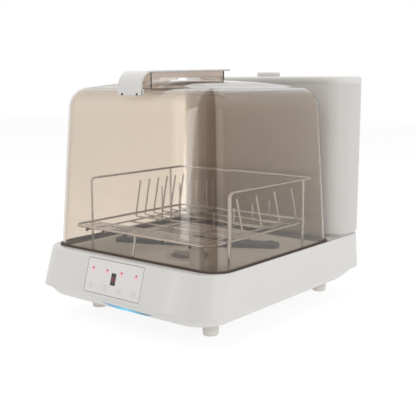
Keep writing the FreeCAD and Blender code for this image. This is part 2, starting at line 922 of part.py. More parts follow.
def bowl_prongs():
    wires = []
    for y in spread(bowl_front, bowl_rear, bowl_count):
        wires.append(dish_wire(
            y, rack_half - bowl_outer_side, rack_half - bowl_inner_side,
            bowl_outer_top, bowl_inner_top, bowl_lean,
        ))
    return Part.makeCompound(wires)


def rack_boots():
    wire_end = ring_front_y - rack_wire
    boots = []
    for x in floor_wire_x:
        boots.append(straight_wire(
            V(x, wire_end - cap_boot_length, floor_wire_z), V(x, wire_end, floor_wire_z),
            cap_boot_radius,
        ))
    return Part.makeCompound(boots)


# Water tank

def tank_form(z0, z1, inset):
    half = half_width - side_lean - inset
    return rounded_block(
        -half, half, tank_front + inset, half_depth - side_lean - inset,
        z0, z1, tank_front_corner - inset, tank_rear_corner - inset,
    )


def water_tank():
    spigot = disc(
        tank_outlet_x, tank_outlet_y, tank_bottom - deck_thickness - tank_spigot, tank_bottom + 1,
        tank_spigot_radius,
    )
    body = tank_form(tank_bottom, tank_body_top, 0)
    body = body.cut(tank_form(tank_bottom + tank_wall, tank_body_top + 1, tank_wall))
    return fuse([body, spigot])


def tank_lid():
    lid = tank_form(tank_body_top, tank_top, 0)
    rim = [edge for edge in lid.Edges if edge.BoundBox.ZMin > tank_top - 0.1]
    lid = lid.makeChamfer(lid_bevel, rim)
    lid = lid.cut(tank_form(tank_body_top - 1, tank_top - tank_wall, tank_wall))
    mouth = ribbed_disc(cap_ribs, tank_body_top, tank_top + 1, cap_plug_radius + cap_clearance)
    mouth.translate(V(0, cap_y, 0))
    return lid.cut(mouth)


def filler_cap():
    knob = ribbed_disc(cap_ribs, tank_top, tank_top + cap_height, cap_radius)
    plug = ribbed_disc(cap_ribs, tank_top - cap_plug, tank_top + 1, cap_plug_radius)
    cap = fuse([knob, plug])
    cap.translate(V(0, cap_y, 0))
    return cap


# Control panel and lights

def control_panel():
    plate = panel_plate(0, panel_thickness)
    plate = plate.cut(front_box(
        0, window_above_panel_low, window_width, window_height, -1, panel_thickness + 1,
    ))
    holes = []
    for x in panel_columns():
        holes.append(front_box(
            x, light_above_panel_low, light_size, light_size, -1, panel_thickness + 1,
        ))
    return on_front(plate.cut(Part.makeCompound(holes)))


def display_window():
    return on_front(front_box(
        0, window_above_panel_low, window_width, window_height, 0, base_wall + board_gap,
    ))


def indicator_lights():
    pins = []
    for x in panel_columns():
        pins.append(front_box(
            x, light_above_panel_low, light_size, light_size, 0, base_wall + board_gap,
        ))
    return on_front(Part.makeCompound(pins))


def touch_pads():
    pads = []
    for x in panel_columns():
        pads.append(front_box(
            x, key_above_panel_low, key_size, key_size, panel_thickness, base_wall + board_gap,
        ))
    return on_front(Part.makeCompound(pads))


def control_board():
    front = base_wall + board_gap
    return on_front(front_box(
        0, board_above_panel_low, control_board_width, control_board_height,
        front, front + board_thickness,
    ))


def lamp_lens():
    return lamp_form().common(tray_form(0).cut(tray_form(tray_wall)))


def lamp_board():
    depth_in = tray_wall + glue_gap
    strip = tray_form(depth_in).cut(tray_form(depth_in + lamp_board_thickness))
    return strip.common(box(
        lamp_x - lamp_board_half, lamp_x + lamp_board_half, -half_depth, well_front,
        lamp_board_low, lamp_board_high,
    ))


# Pumps, heater, hoses and fittings

def wash_pump():
    """Volute with its inlet to the front, its outlet to the side at the top and a motor behind."""
    motor_face = pump_face_y + wash_volute_width
    volute = straight_wire(
        V(sump_x, pump_face_y, wash_z), V(sump_x, motor_face, wash_z), wash_volute, pump_sides,
    )
    motor = box(
        sump_x - wash_motor_half, sump_x + wash_motor_half, motor_face,
        motor_face + wash_motor_length, wash_z - wash_motor_half, wash_z + wash_motor_half,
    )
    inlet = straight_wire(
        V(sump_x, pump_face_y - spigot_length, wash_z), V(sump_x, pump_face_y + 1, wash_z), hose_radius,
    )
    outlet = straight_wire(V(sump_x, heater_y, heater_z), V(heater_x, heater_y, heater_z), hose_radius)
    return fuse([volute, motor, inlet, outlet])


def drain_pump():
    motor_face = pump_face_y + drain_volute_width
    volute = straight_wire(
        V(drain_x, pump_face_y, drain_z), V(drain_x, motor_face, drain_z), drain_volute, pump_sides,
    )
    motor = box(
        drain_x - drain_motor_half, drain_x + drain_motor_half, motor_face,
        motor_face + drain_motor_length, drain_z - drain_motor_half, drain_z + drain_motor_half,
    )
    stand = box(
        drain_x - drain_motor_half, drain_x + drain_motor_half, motor_face,
        motor_face + drain_motor_length / 2, tray_floor, drain_z - drain_motor_half,
    )
    middle = pump_face_y + drain_volute_width / 2
    outlet = straight_wire(
        V(drain_x, middle, outlet_z), V(drain_x + drain_volute, middle, outlet_z), drain_hose_radius,
    )
    return fuse([volute, motor, stand, outlet])


def water_heater():
    body = straight_wire(
        V(heater_x, heater_y, heater_z), V(heater_x + heater_length, heater_y, heater_z),
        heater_radius, heater_sides,
    )
    spigot = straight_wire(
        V(feed_x, heater_y, heater_z), V(feed_x, heater_y, heater_z - heater_radius - heater_spigot),
        hose_radius,
    )
    return fuse([body, spigot])


def outlet_start_y():
    rear = lean_rectangle(outlet_z, 0)[3]
    return rear - outlet_pocket_depth - base_wall - 1


def hoses():
    suction = bent_wire([
        V(sump_x, sump_y + sump_outer + side_spigot, suction_z), V(sump_x, hose_rise_y, suction_z),
        V(sump_x, pump_face_y - hose_entry, wash_z),
        V(sump_x, pump_face_y - spigot_length, wash_z),
    ], hose_radius, hose_bend)
    feed = bent_wire([
        V(feed_x, heater_y, heater_z - heater_radius - heater_spigot), V(feed_x, heater_y, feed_z),
        V(feed_x, arm_axis_y + hub_foot_half + spigot_length, feed_z),
    ], hose_radius, hose_bend)
    drain = bent_wire([
        V(sump_x - sump_outer - side_spigot / 2, sump_y, suction_z), V(drain_x, sump_y, suction_z),
        V(drain_x, pump_face_y, suction_z),
    ], drain_hose_radius, hose_bend)
    middle = pump_face_y + drain_volute_width / 2
    outlet = bent_wire([
        V(drain_x + drain_volute, middle, outlet_z), V(outlet_x, middle, outlet_z),
        V(outlet_x, outlet_start_y(), outlet_z),
    ], drain_hose_radius, hose_bend - 1)
    fill_z = tank_bottom - deck_thickness - tank_spigot - valve_height / 2
    fill = straight_wire(
        V(tank_outlet_x, tub_rear + tub_wall + spigot_length, fill_z),
        V(tank_outlet_x, tank_outlet_y - valve_size / 2, fill_z), drain_hose_radius,
    )
    return Part.makeCompound([suction, feed, drain, outlet, fill])


def drain_outlet():
    start = outlet_start_y()
    middle = V(outlet_x, start, outlet_z)
    end = middle + V(0, outlet_length + base_wall, 0)
    tube = straight_wire(middle, end, outlet_radius)
    return tube.cut(straight_wire(middle + V(0, base_wall, 0), end + V(0, 1, 0), outlet_bore))


def fill_valve():
    top = tank_bottom - deck_thickness - tank_spigot
    reach = valve_size / 2
    return box(
        tank_outlet_x - reach, tank_outlet_x + reach, tank_outlet_y - reach, tank_outlet_y + reach,
        top - valve_height, top,
    )


def power_inlet():
    rear = lean_rectangle(inlet_z, 0)[3]
    body = inlet_opening(-glue_gap, rear - inlet_depth, rear - 1)
    flange_face = rear - base_wall - 2 * side_lean * inlet_height / (rim_height - skirt_edge)
    flange = inlet_opening(inlet_flange, flange_face - inlet_flange, flange_face + 1)
    socket = inlet_opening(-inlet_socket_wall, rear - inlet_recess, rear)
    return fuse([body, flange]).cut(socket)


def main_board():
    low = tray_floor + board_post
    return box(
        main_board_x, main_board_x + main_board_length, main_board_y,
        main_board_y + main_board_depth, low, low + board_thickness,
    )


nodes = {
    "base_housing": base_housing,
    "under_tray": under_tray,
    "feet": feet,
    "wash_tub": wash_tub,
    "arm_hub": arm_hub,
    "water_tank": water_tank,
    "tank_lid": tank_lid,
    "control_panel": control_panel,
    "display_window": display_window,
    "indicator_lights": indicator_lights,
    "touch_pads": touch_pads,
    "control_board": control_board,
    "lamp_lens": lamp_lens,
    "lamp_board": lamp_board,
    "wash_pump": wash_pump,
    "drain_pump": drain_pump,
    "water_heater": water_heater,
    "hoses": hoses,
    "drain_outlet": drain_outlet,
    "fill_valve": fill_valve,
    "power_inlet": power_inlet,
    "main_board": main_board,
    "hood_shell": hood_shell,
    "hood_seal": hood_seal,
    "hood_strap": hood_strap,
    "handle_channel": handle_channel,
    "rack_frame": rack_frame,
    "rack_floor": rack_floor,
    "rack_shelf": rack_shelf,
    "plate_prongs": plate_prongs,
    "bowl_prongs": bowl_prongs,
    "rack_boots": rack_boots,
    "spray_arm": spray_arm,
    "filter_basket": filter_basket,
    "filler_cap": filler_cap,
}

os.makedirs("parts", exist_ok=True)
for name, make in nodes.items():
    shape = make()
    shape.exportStep("parts/" + name + ".step")
    print(name, shape.isValid(), len(shape.Solids), round(shape.Volume / 1000, 1), "cm3")
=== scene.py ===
import math
import bmesh
import bpy
from mathutils import Matrix, Vector


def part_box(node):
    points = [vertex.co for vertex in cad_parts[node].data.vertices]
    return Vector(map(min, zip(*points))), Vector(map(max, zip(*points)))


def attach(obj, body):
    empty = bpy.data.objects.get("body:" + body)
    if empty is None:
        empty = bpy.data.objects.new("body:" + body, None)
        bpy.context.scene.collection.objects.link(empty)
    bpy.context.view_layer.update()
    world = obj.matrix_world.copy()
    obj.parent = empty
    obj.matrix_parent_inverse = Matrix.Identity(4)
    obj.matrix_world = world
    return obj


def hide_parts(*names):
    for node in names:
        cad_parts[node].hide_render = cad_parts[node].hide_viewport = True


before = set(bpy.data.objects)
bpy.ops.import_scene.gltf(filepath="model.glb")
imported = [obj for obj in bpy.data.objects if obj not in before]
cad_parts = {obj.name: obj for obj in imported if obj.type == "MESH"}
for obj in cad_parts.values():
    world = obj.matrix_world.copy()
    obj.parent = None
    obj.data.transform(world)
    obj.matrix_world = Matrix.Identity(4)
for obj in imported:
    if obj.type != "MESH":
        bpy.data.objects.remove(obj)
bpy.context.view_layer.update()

# Camera, lamps and table. The machine stands on a white table and is seen from its front right
# corner, a little from above, in the even light of a photo tent.
mm = 0.001
camera_turn = math.radians(38.57)
camera_dip = math.radians(9.41)
camera_distance = 1344.5 * mm
camera_height = 391.1 * mm
focal_pixels = 764.6
image_pixels = 416
sensor_width = 36

camera_data = bpy.data.cameras.new("camera")
camera_data.sensor_fit = "HORIZONTAL"
camera_data.sensor_width = sensor_width
camera_data.lens = focal_pixels / image_pixels * sensor_width
camera = bpy.data.objects.new("camera", camera_data)
camera.location = (
    math.sin(camera_turn) * camera_distance, -math.cos(camera_turn) * camera_distance,
    camera_height,
)
camera.rotation_euler = (math.pi / 2 - camera_dip, 0, camera_turn)
bpy.context.scene.collection.objects.link(camera)
bpy.context.scene.camera = camera
bpy.context.scene.view_settings.view_transform = "Standard"


def soft_lamp(name, place, target, size, watts, mirrored=False):
    """A flat lamp; only the strip lamps are mirrored in the gloss of the object."""
    data = bpy.data.lights.new(name, "AREA")
    data.shape = "RECTANGLE"
    data.size, data.size_y = size
    data.energy = watts
    lamp = bpy.data.objects.new(name, data)
    lamp.location = place
    aim = Vector(target) - Vector(place)
    lamp.rotation_euler = aim.to_track_quat("-Z", "Y").to_euler()
    lamp.visible_glossy = mirrored
    lamp.visible_transmission = False
    bpy.context.scene.collection.objects.link(lamp)


soft_lamp("key_lamp", (-1.65, -1.25, 1.7), (0, 0, 0.2), size=(1.4, 1.4), watts=15.5)
soft_lamp("side_lamp", (1.95, 0.05, 1.1), (0, 0, 0.2), size=(1.2, 1.2), watts=7)
soft_lamp("top_lamp", (0, 0.4, 2.2), (0, 0, 0.1), size=(1.6, 1.6), watts=18)
soft_lamp(
    "left_strip", (-0.615, -1.18, 0.37), (0.13, -0.20, 0.25), size=(0.036, 0.72), watts=0.36,
    mirrored=True,
)
soft_lamp(
    "right_strip", (1.45, -0.40, 0.37), (0.16, -0.19, 0.25), size=(0.72, 0.72), watts=1.7,
    mirrored=True,
)


def feed(tree, target, inputs):
    """Sets a node's inputs, by name or number, to values or links them to other nodes' outputs."""
    for name, value in inputs.items():
        if isinstance(value, bpy.types.NodeSocket):
            tree.links.new(value, target.inputs[name])
        else:
            target.inputs[name].default_value = value


def node(tree, kind, inputs=None, **settings):
    """Adds a node with its settings and its inputs."""
    made = tree.nodes.new(kind)
    for name, value in settings.items():
        setattr(made, name, value)
    feed(tree, made, inputs or {})
    return made


def maths(tree, operation, *values):
    """Result of one operation on numbers and other nodes' outputs."""
    made = node(tree, "ShaderNodeMath", dict(enumerate(values)), operation=operation)
    return made.outputs[0]


def map_range(tree, value, **limits):
    """A value taken from one range to another."""
    named = {name.replace("_", " ").title(): limit for name, limit in limits.items()}
    made = node(tree, "ShaderNodeMapRange", {"Value": value, **named})
    return made.outputs["Result"]


def new_material(name):
    """A new material, with its tree of nodes and its Principled BSDF."""
    material = bpy.data.materials.new(name)
    material.use_nodes = True
    return material, material.node_tree, material.node_tree.nodes["Principled BSDF"]


def seen_white(tree):
    """Light Path value that is 1 for rays from the camera, a mirror or through glass."""
    path = node(tree, "ShaderNodeLightPath").outputs
    direct = maths(tree, "MAXIMUM", path["Is Camera Ray"], path["Is Transmission Ray"])
    return maths(tree, "MAXIMUM", direct, path["Is Glossy Ray"])


tent_light = 0.52
table_half = 6.0
table_light = 1.12
world = bpy.data.worlds.new("tent")
bpy.context.scene.world = world
world.use_nodes = True
air = world.node_tree
tent = air.nodes["Background"]
feed(air, tent, {"Color": (1, 1, 1, 1), "Strength": tent_light})
bright = node(air, "ShaderNodeBackground", {"Color": (1, 1, 1, 1), "Strength": 1.0})
surround = node(air, "ShaderNodeMixShader", {
    "Fac": seen_white(air), 1: tent.outputs[0], 2: bright.outputs[0],
})
feed(air, air.nodes["World Output"], {"Surface": surround.outputs[0]})

table_mesh = bpy.data.meshes.new("table")
bm = bmesh.new()
bmesh.ops.create_grid(bm, x_segments=1, y_segments=1, size=table_half)
bm.to_mesh(table_mesh)
bm.free()
table = bpy.data.objects.new("table", table_mesh)
bpy.context.scene.collection.objects.link(table)
table_white, top, top_shader = new_material("table_white")
feed(top, top_shader, {"Base Color": (0.92, 0.92, 0.92, 1), "Roughness": 0.6})
glow = node(top, "ShaderNodeEmission", {"Strength": table_light})
lit = node(top, "ShaderNodeMixShader", {
    "Fac": map_range(top, seen_white(top), to_min=0.25, to_max=0.74), 1: top_shader.outputs[0],
    2: glow.outputs[0],
})
feed(top, top.nodes["Material Output"], {"Surface": lit.outputs[0]})
table_mesh.materials.append(table_white)

# Base housing. One gloss white ABS moulding with leaning sides and soft edges, a deep well for the
# hood, and a shallow recess for the panel in front. Two pockets for the drain hose and the mains
# lead are let into its rear wall.
base_low, base_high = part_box("base_housing")
rim = 114 * mm
skirt = base_low.z
front_lean = 18 * mm
side_lean = 3 * mm
base_corner = 42 * mm
well_half = 182.5 * mm
well_front = -204.5 * mm
well_rear = 131.5 * mm
well_corner = 35 * mm
well_floor = 103.5 * mm
corner_steps = 12


def soften(bm, geom, radius, steps=3, affect="EDGES"):
    """Rounds edges or corners."""
    bmesh.ops.bevel(
        bm, geom=geom, offset=radius, segments=steps, profile=0.5, affect=affect, material=-1,
    )


def outline(bm, x0, x1, y0, y1, z, corner):
    """A flat rectangle with round corners, as a ring of vertices without its face."""
    old = set(bm.faces)
    made = bmesh.ops.create_grid(bm, x_segments=1, y_segments=1, size=0.5)["verts"]
    bmesh.ops.scale(bm, vec=(x1 - x0, y1 - y0, 1), verts=made)
    bmesh.ops.translate(bm, vec=((x0 + x1) / 2, (y0 + y1) / 2, z), verts=made)
    soften(bm, made, corner, corner_steps, affect="VERTICES")
    face = next(face for face in bm.faces if face not in old)
    face.normal_update()
    if face.normal.z < 0:
        face.normal_flip()
    ring = list(face.verts)
    first = max(ring, key=lambda vert: (round(vert.co.x, 7), vert.co.y))
    start = ring.index(first)
    bmesh.ops.delete(bm, geom=[face], context="FACES_ONLY")
    return ring[start:] + ring[:start]


def band(bm, low, high):
    """Faces between two rings that run the same way round."""
    for index in range(len(low)):
        bm.faces.new((low[index - 1], low[index], high[index], high[index - 1]))


def loft(bm, outlines):
    """Joins rounded outlines (x0, x1, y0, y1, z, corner) one after the other with bands."""
    rings = [outline(bm, *shape) for shape in outlines]
    for low, high in zip(rings, rings[1:]):
        band(bm, low, high)
    return rings


def finish_piece(name, bm, material, body, replaced=(), sharp=35):
    """Makes a bmesh a piece with smooth faces between sharp edges, which rides on a body."""
    bmesh.ops.remove_doubles(bm, verts=bm.verts, dist=1e-6)
    bmesh.ops.recalc_face_normals(bm, faces=bm.faces)
    for face in bm.faces:
        face.smooth = True
    for edge in bm.edges:
        if len(edge.link_faces) == 2 and edge.calc_face_angle() > math.radians(sharp):
            edge.smooth = False
    mesh = bpy.data.meshes.new(name)
    bm.to_mesh(mesh)
    bm.free()
    mesh.materials.append(material)
    piece = bpy.data.objects.new(name, mesh)
    bpy.context.scene.collection.objects.link(piece)
    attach(piece, body)
    if replaced:
        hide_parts(*replaced)


def object_place(tree):
    """Place on the piece, in metres."""
    return node(tree, "ShaderNodeTexCoord").outputs["Object"]


def noise(tree, scale, detail=2):
    """Soft noise over the piece, from 0 to 1."""
    made = node(tree, "ShaderNodeTexNoise", {
        "Vector": object_place(tree), "Scale": scale, "Detail": detail,
    })
    return made.outputs["Fac"]


def mixed(tree, share, first, second, blend="MIX"):
    """Colour between two, by a share from 0 to 1."""
    made = node(
        tree, "ShaderNodeMix", {"Factor": share, "A": first, "B": second}, data_type="RGBA",
        blend_type=blend,
    )
    return made.outputs["Result"]


def node_group(name, inputs, outputs):
    """A new node group whose inputs and outputs are plain numbers."""
    group = bpy.data.node_groups.new(name, "ShaderNodeTree")
    for in_out, names in (("INPUT", inputs), ("OUTPUT", outputs)):
        for socket in names:
            group.interface.new_socket(name=socket, in_out=in_out, socket_type="NodeSocketFloat")
    return group


def moulding_grain():
    """Fine unevenness of a moulded surface: a roughness, a height and a drift of colour."""
    group = node_group(
        "moulding_grain", ("Grain Size", "Roughness", "Roughness Spread"),
        ("Roughness", "Height", "Tone"),
    )
    entry = node(group, "NodeGroupInput").outputs
    broad = noise(group, 14)
    node(group, "NodeGroupOutput", {
        "Roughness": maths(
            group, "MULTIPLY_ADD", broad, entry["Roughness Spread"], entry["Roughness"],
        ),
        "Height": noise(group, entry["Grain Size"], 3),
        "Tone": broad,
    })
    return group


grain_group = moulding_grain()


def moulded(
    name, colour, second, roughness, spread=0.08, grain=900, bump=0.03, coat=0.0, metal=0.0,
):
    """A moulded or plated surface whose colour drifts a little between two close tones."""
    material, tree, shader = new_material(name)
    grains = node(tree, "ShaderNodeGroup", {
        "Grain Size": grain, "Roughness": roughness, "Roughness Spread": spread,
    }, node_tree=grain_group).outputs
    relief = node(tree, "ShaderNodeBump", {
        "Height": grains["Height"], "Strength": bump, "Distance": 0.4 * mm,
    })
    feed(tree, shader, {
        "Base Color": mixed(tree, grains["Tone"], (*colour, 1), (*second, 1)),
        "Roughness": grains["Roughness"], "Normal": relief.outputs["Normal"], "Metallic": metal,
        "Coat Weight": coat, "Coat Roughness": 0.08,
    })
    return material


def sink(bm, side, point, along, x0, x1, low, high, depth, corner):
    """Lets a pocket with round corners into the flat front (side -1) or rear (side 1) wall."""
    bm.normal_update()
    walls = [
        face for face in bm.faces
        if abs(face.normal.y) > 0.9 and face.calc_center_median().y * side > 0.1
        and face.calc_center_median().z > skirt + 2 * mm
    ]
    wall = max(walls, key=lambda face: face.calc_area())
    for offset, inwards in (
        (Vector((x0, 0, 0)), Vector((1, 0, 0))), (Vector((x1, 0, 0)), Vector((-1, 0, 0))),
        (along * low, along), (along * high, -along),
    ):
        start = point + offset
        cut = bmesh.ops.bisect_plane(
            bm, geom=[wall, *wall.edges, *wall.verts], plane_co=start, plane_no=inwards,
        )
        halves = [item for item in cut["geom"] if isinstance(item, bmesh.types.BMFace)]
        wall = max(halves, key=lambda face: (face.calc_center_median() - start).dot(inwards))
    mouth = set(wall.verts)
    bmesh.ops.inset_individual(bm, faces=[wall], thickness=0.15 * mm, depth=0)
    bmesh.ops.translate(bm, vec=(0, -side * depth, 0), verts=list(wall.verts))
    corners = [
        edge for vert in wall.verts for edge in vert.link_edges if edge.other_vert(vert) in mouth
    ]
    soften(bm, corners, corner, 5)


def lean(z, inset):
    """The housing's outline at a height, drawn in by an inset."""
    share = (z - skirt) / (rim - skirt)
    half = base_high.x - side_lean * share - inset
    return (
        -half, half, base_low.y + front_lean * share + inset,
        base_high.y - side_lean * share - inset, z, base_corner - inset,
    )


def well(z, grow):
    """The outline of the well that the hood stands in, grown outwards or drawn in."""
    return (
        -well_half - grow, well_half + grow, well_front - grow, well_rear + grow, z,
        well_corner + grow,
    )


white_plastic = moulded(
    "gloss_white_abs", (0.73, 0.712, 0.69), (0.70, 0.682, 0.66), 0.26, coat=0.25,
)
tub_hole = (-171 * mm, 171 * mm, -192.5 * mm, 119.5 * mm)
hole_corner = 30 * mm
bm = bmesh.new()
housing_rings = loft(bm, [
    (*tub_hole, skirt, hole_corner), lean(skirt, 1.6 * mm), lean(skirt + 0.4 * mm, 0.6 * mm),
    lean(skirt + 1.6 * mm, 0), lean(skirt + 3.2 * mm, 0), lean(rim - 3.3 * mm, 0),
    lean(rim - 2.4 * mm, 0), lean(rim - 1.2 * mm, 0.35 * mm), lean(rim - 0.4 * mm, 1.1 * mm),
    lean(rim, 2.4 * mm), lean(rim, 4 * mm), well(rim, 2.2 * mm),
    well(rim - 0.5 * mm, 0.8 * mm), well(rim - 1.8 * mm, 0), well(well_floor, 0),
    (*tub_hole, well_floor, hole_corner),
])
band(bm, housing_rings[-1], housing_rings[0])
front_turn = math.atan2(front_lean, rim - skirt)
front_foot = Vector((-7 * mm, base_low.y, skirt))
front_up = Vector((0, math.sin(front_turn), math.cos(front_turn)))
panel_half = 60.5 * mm
panel_low = 8 * mm
panel_high = panel_low + 54 * mm
panel_groove = 1.2 * mm
sink(
    bm, -1, front_foot, front_up, -panel_half - panel_groove, panel_half + panel_groove,
    panel_low - panel_groove, panel_high + panel_groove, depth=2 * mm, corner=2.5 * mm,
)
pocket_depth = 22 * mm
outlet_place = Vector((-107 * mm, base_high.y, 70 * mm))
outlet_half = 12 * mm
inlet_low, inlet_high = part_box("power_inlet")
inlet_middle = (inlet_low + inlet_high) / 2
inlet_half = (inlet_high - inlet_low) / 2 - Vector((1, 1, 1)) * 1.5 * mm
upright = Vector((0, 0, 1))
sink(
    bm, 1, outlet_place, upright, -outlet_half, outlet_half, -outlet_half, outlet_half,
    pocket_depth, corner=2 * mm,
)
sink(
    bm, 1, Vector((inlet_middle.x, base_high.y, inlet_middle.z)), upright, -inlet_half.x,
    inlet_half.x, -inlet_half.z, inlet_half.z, pocket_depth, corner=1 * mm,
)
finish_piece("housing", bm, white_plastic, "base", ["base_housing"])

# Plinth under the tank. A low step of the same moulding that lifts the tank off the deck and
# leaves a shadow gap all round.
tank_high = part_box("water_tank")[1]
tank_half = tank_high.x
tank_front = 138 * mm
tank_bottom = 117 * mm
tank_body_top = 387 * mm
tank_corner = 39 * mm


def tank_outline(z, inset):
    """The tank's outline at a height, drawn in by an inset."""
    return (
        -tank_half + inset, tank_half - inset, tank_front + inset, tank_high.y - inset, z,
        tank_corner - inset,
    )


bm = bmesh.new()
for ring in loft(bm, [tank_outline(z, 5 * mm) for z in (rim - 1 * mm, tank_bottom)]):
    bm.faces.new(ring)
finish_piece("tank_plinth", bm, white_plastic, "base")

# Under tray and legs. A white moulding that closes the base from below, bellied out between its
# leaning skirts, with four round legs on which the rubber pads sit.
tray_half = 186 * mm
tray_front = -235.8 * mm
tray_rear = 235.5 * mm
tray_corner = 44 * mm
tray_bottom = 33 * mm
side_fall = 11 * mm
front_fall = 11.8 * mm
rear_fall = 35.5 * mm
leg_radius = 13 * mm
leg_taper = 1.2 * mm
leg_top = tray_bottom + 3 * mm
pad_height = 9 * mm
leg_places = [(x, y) for x in (-125 * mm, 125 * mm) for y in (-150 * mm, 181 * mm)]


def belly(z, share, inset=0.0):
    """The tray's outline at a share of the way from its edge down to its flat bottom."""
    return (
        -tray_half + side_fall * share + inset, tray_half - side_fall * share - inset,
        tray_front + front_fall * share + inset, tray_rear - rear_fall * share - inset,
        z, tray_corner - inset,
    )


def cone(bm, low_radius, high_radius, height, place, steps=48, closed=True):
    """A round stub whose middle is at a place."""
    made = bmesh.ops.create_cone(
        bm, cap_ends=closed, segments=steps, radius1=low_radius, radius2=high_radius,
        depth=height,
    )["verts"]
    bmesh.ops.translate(bm, vec=place, verts=made)
    return made


belly_steps = [
    (52.5 * mm, -0.05), (49 * mm, 0.1), (44 * mm, 0.34), (39 * mm, 0.64), (35 * mm, 0.93),
    (33.6 * mm, 1.0, 3 * mm), (tray_bottom, 1.0, 7 * mm),
]
bm = bmesh.new()
tray_rings = loft(bm, [belly(*step) for step in belly_steps])
bm.faces.new(tray_rings[-1])
finish_piece("belly_tray", bm, white_plastic, "base", ["under_tray"], sharp=50)

bm = bmesh.new()
for x, y in leg_places:
    middle = (x, y, (leg_top + pad_height) / 2)
    cone(bm, leg_radius, leg_radius + leg_taper, leg_top - pad_height, middle, closed=False)
finish_piece("tray_legs", bm, white_plastic, "base")

# Foot pads. Four pale rubber pads pressed under the legs, with a worn soft edge on the table.
# They keep the machine from sliding and hold the tray clear of a wet worktop.
rubber = moulded(
    "foot_rubber", (0.86, 0.82, 0.77), (0.80, 0.76, 0.71), 0.6, grain=1500, bump=0.2,
)
bm = bmesh.new()
for x, y in leg_places:
    cone(bm, leg_radius - 1 * mm, leg_radius, pad_height, (x, y, pad_height / 2))
rims = [
    edge for edge in bm.edges
    if max(vert.co.z for vert in edge.verts) < 0.1 * mm and len(edge.link_faces) == 2
]
soften(bm, rims, 1.2 * mm)
finish_piece("foot_pads", bm, rubber, "base", ["feet"])

# Blue light. A crescent of clear blue plastic let into the belly below the front edge, bright in
# its middle and dark blue at its ends.
lens_x = 21 * mm
lens_half = 55 * mm
lens_high = 40.6 * mm
lens_sag = 0.3 * mm
lens_drop = 7.4 * mm
lens_tilt = 1.3 * mm
lens_steps = 48
lens_rows = 6
lens_proud = 0.35 * mm


def belly_front(z):
    """How far forward the belly reaches at a height."""
    for upper, lower in zip(belly_steps, belly_steps[1:]):
        if z >= lower[0]:
            share = (z - lower[0]) / (upper[0] - lower[0])
            high_y = belly(*upper)[2]
            low_y = belly(*lower)[2]
            return low_y + (high_y - low_y) * share
    return belly(*belly_steps[-1])[2]


def colour_ramp(tree, share, first, last, stops):
    """Colour along a ramp with stops between its two ends."""
    made = node(tree, "ShaderNodeValToRGB", {"Fac": share})
    made.color_ramp.elements[0].color = (*first, 1)
    made.color_ramp.elements[1].color = (*last, 1)
    for position, colour in stops:
        made.color_ramp.elements.new(position).color = (*colour, 1)
    return made.outputs["Color"]


bm = bmesh.new()
bmesh.ops.create_grid(bm, x_segments=lens_steps, y_segments=lens_rows, size=1.0)
for vert in bm.verts:
    across, down = vert.co.x, (1 - vert.co.y) / 2
    fall = 1 - across ** 2
    z = lens_high - lens_tilt * across - fall * (lens_sag + (lens_drop - lens_sag) * down)
    vert.co = (lens_x + lens_half * across, belly_front(z) - lens_proud, z)
bmesh.ops.remove_doubles(bm, verts=bm.verts, dist=0.01 * mm)
bmesh.ops.recalc_face_normals(bm, faces=bm.faces)
if sum(face.normal.y for face in bm.faces) > 0:
    bmesh.ops.reverse_faces(bm, faces=bm.faces)
bmesh.ops.solidify(bm, geom=bm.faces, thickness=0.6 * mm)

blue_glow, lens_tree, lens_shader = new_material("blue_glow")
lens_axes = node(lens_tree, "ShaderNodeSeparateXYZ", {"Vector": object_place(lens_tree)})
lens_along = maths(
    lens_tree, "ADD",
    map_range(
        lens_tree, lens_axes.outputs["X"], from_min=lens_x - lens_half,
        from_max=lens_x + lens_half,
    ),
    map_range(lens_tree, noise(lens_tree, 160), to_min=-0.06, to_max=0.06),
)
feed(lens_tree, lens_shader, {
    "Emission Color": colour_ramp(
        lens_tree, lens_along, (0.22, 0.34, 0.48), (0.24, 0.36, 0.46), (
            (0.14, (0.06, 0.32, 0.55)), (0.30, (0.02, 0.41, 0.70)), (0.46, (0.10, 0.66, 0.88)),
            (0.62, (0.02, 0.42, 0.74)), (0.74, (0.04, 0.21, 0.33)), (0.90, (0.05, 0.21, 0.32)),
        ),
    ),
    "Base Color": (0.02, 0.05, 0.10, 1), "Emission Strength": 0.8, "Roughness": 0.2,
})
finish_piece("blue_crescent", bm, blue_glow, "base", ["lamp_lens"])

# Control panel. A thin gloss white plate let into the leaning front with a hair-fine shadow line
# round it. It carries a row of four small red lights, a black window for the figures and four keys
# that answer to a touch.
panel_place = Matrix.Translation(front_foot) @ Matrix.Rotation(-front_turn, 4, "X")
stand_up = Matrix(((1, 0, 0, 0), (0, 0, 1, 0), (0, 1, 0, 0), (0, 0, 0, 1)))


def onto_front(bm, verts):
    """Takes a flat shape (across, up, depth) onto the leaning front."""
    bmesh.ops.transform(bm, matrix=panel_place @ stand_up, verts=verts)


def front_plate(bm, x0, x1, low, high, y0, y1, corner):
    """A plate with round corners on the leaning front, between two depths below its surface."""
    rings = loft(bm, [(x0, x1, low, high, depth, corner) for depth in (y0, y1)])
    for ring in rings:
        bm.faces.new(ring)
    onto_front(bm, rings[0] + rings[1])


column_pitch = 31.5 * mm
columns = [column_pitch * (index - 1.5) for index in range(4)]
light_half = 1.6 * mm
light_low = panel_low + 37.4 * mm


def painted_glow_spots(places, radius):
    """Mask of painted light: 1 at each of some places on the front, falling to 0 at a radius."""
    group = node_group("painted_glow_spots", (), ("Mask",))
    here = object_place(group)
    mask = None
    for place in places:
        away = node(group, "ShaderNodeVectorMath", {0: here, 1: place}, operation="DISTANCE")
        spot = node(group, "ShaderNodeMapRange", {
            "Value": away.outputs["Value"], "From Max": radius, "To Min": 1, "To Max": 0,
        }, interpolation_type="SMOOTHSTEP").outputs["Result"]
        mask = maths(group, "MAXIMUM", mask, spot) if mask else spot
    node(group, "NodeGroupOutput", {"Mask": mask})
    return group


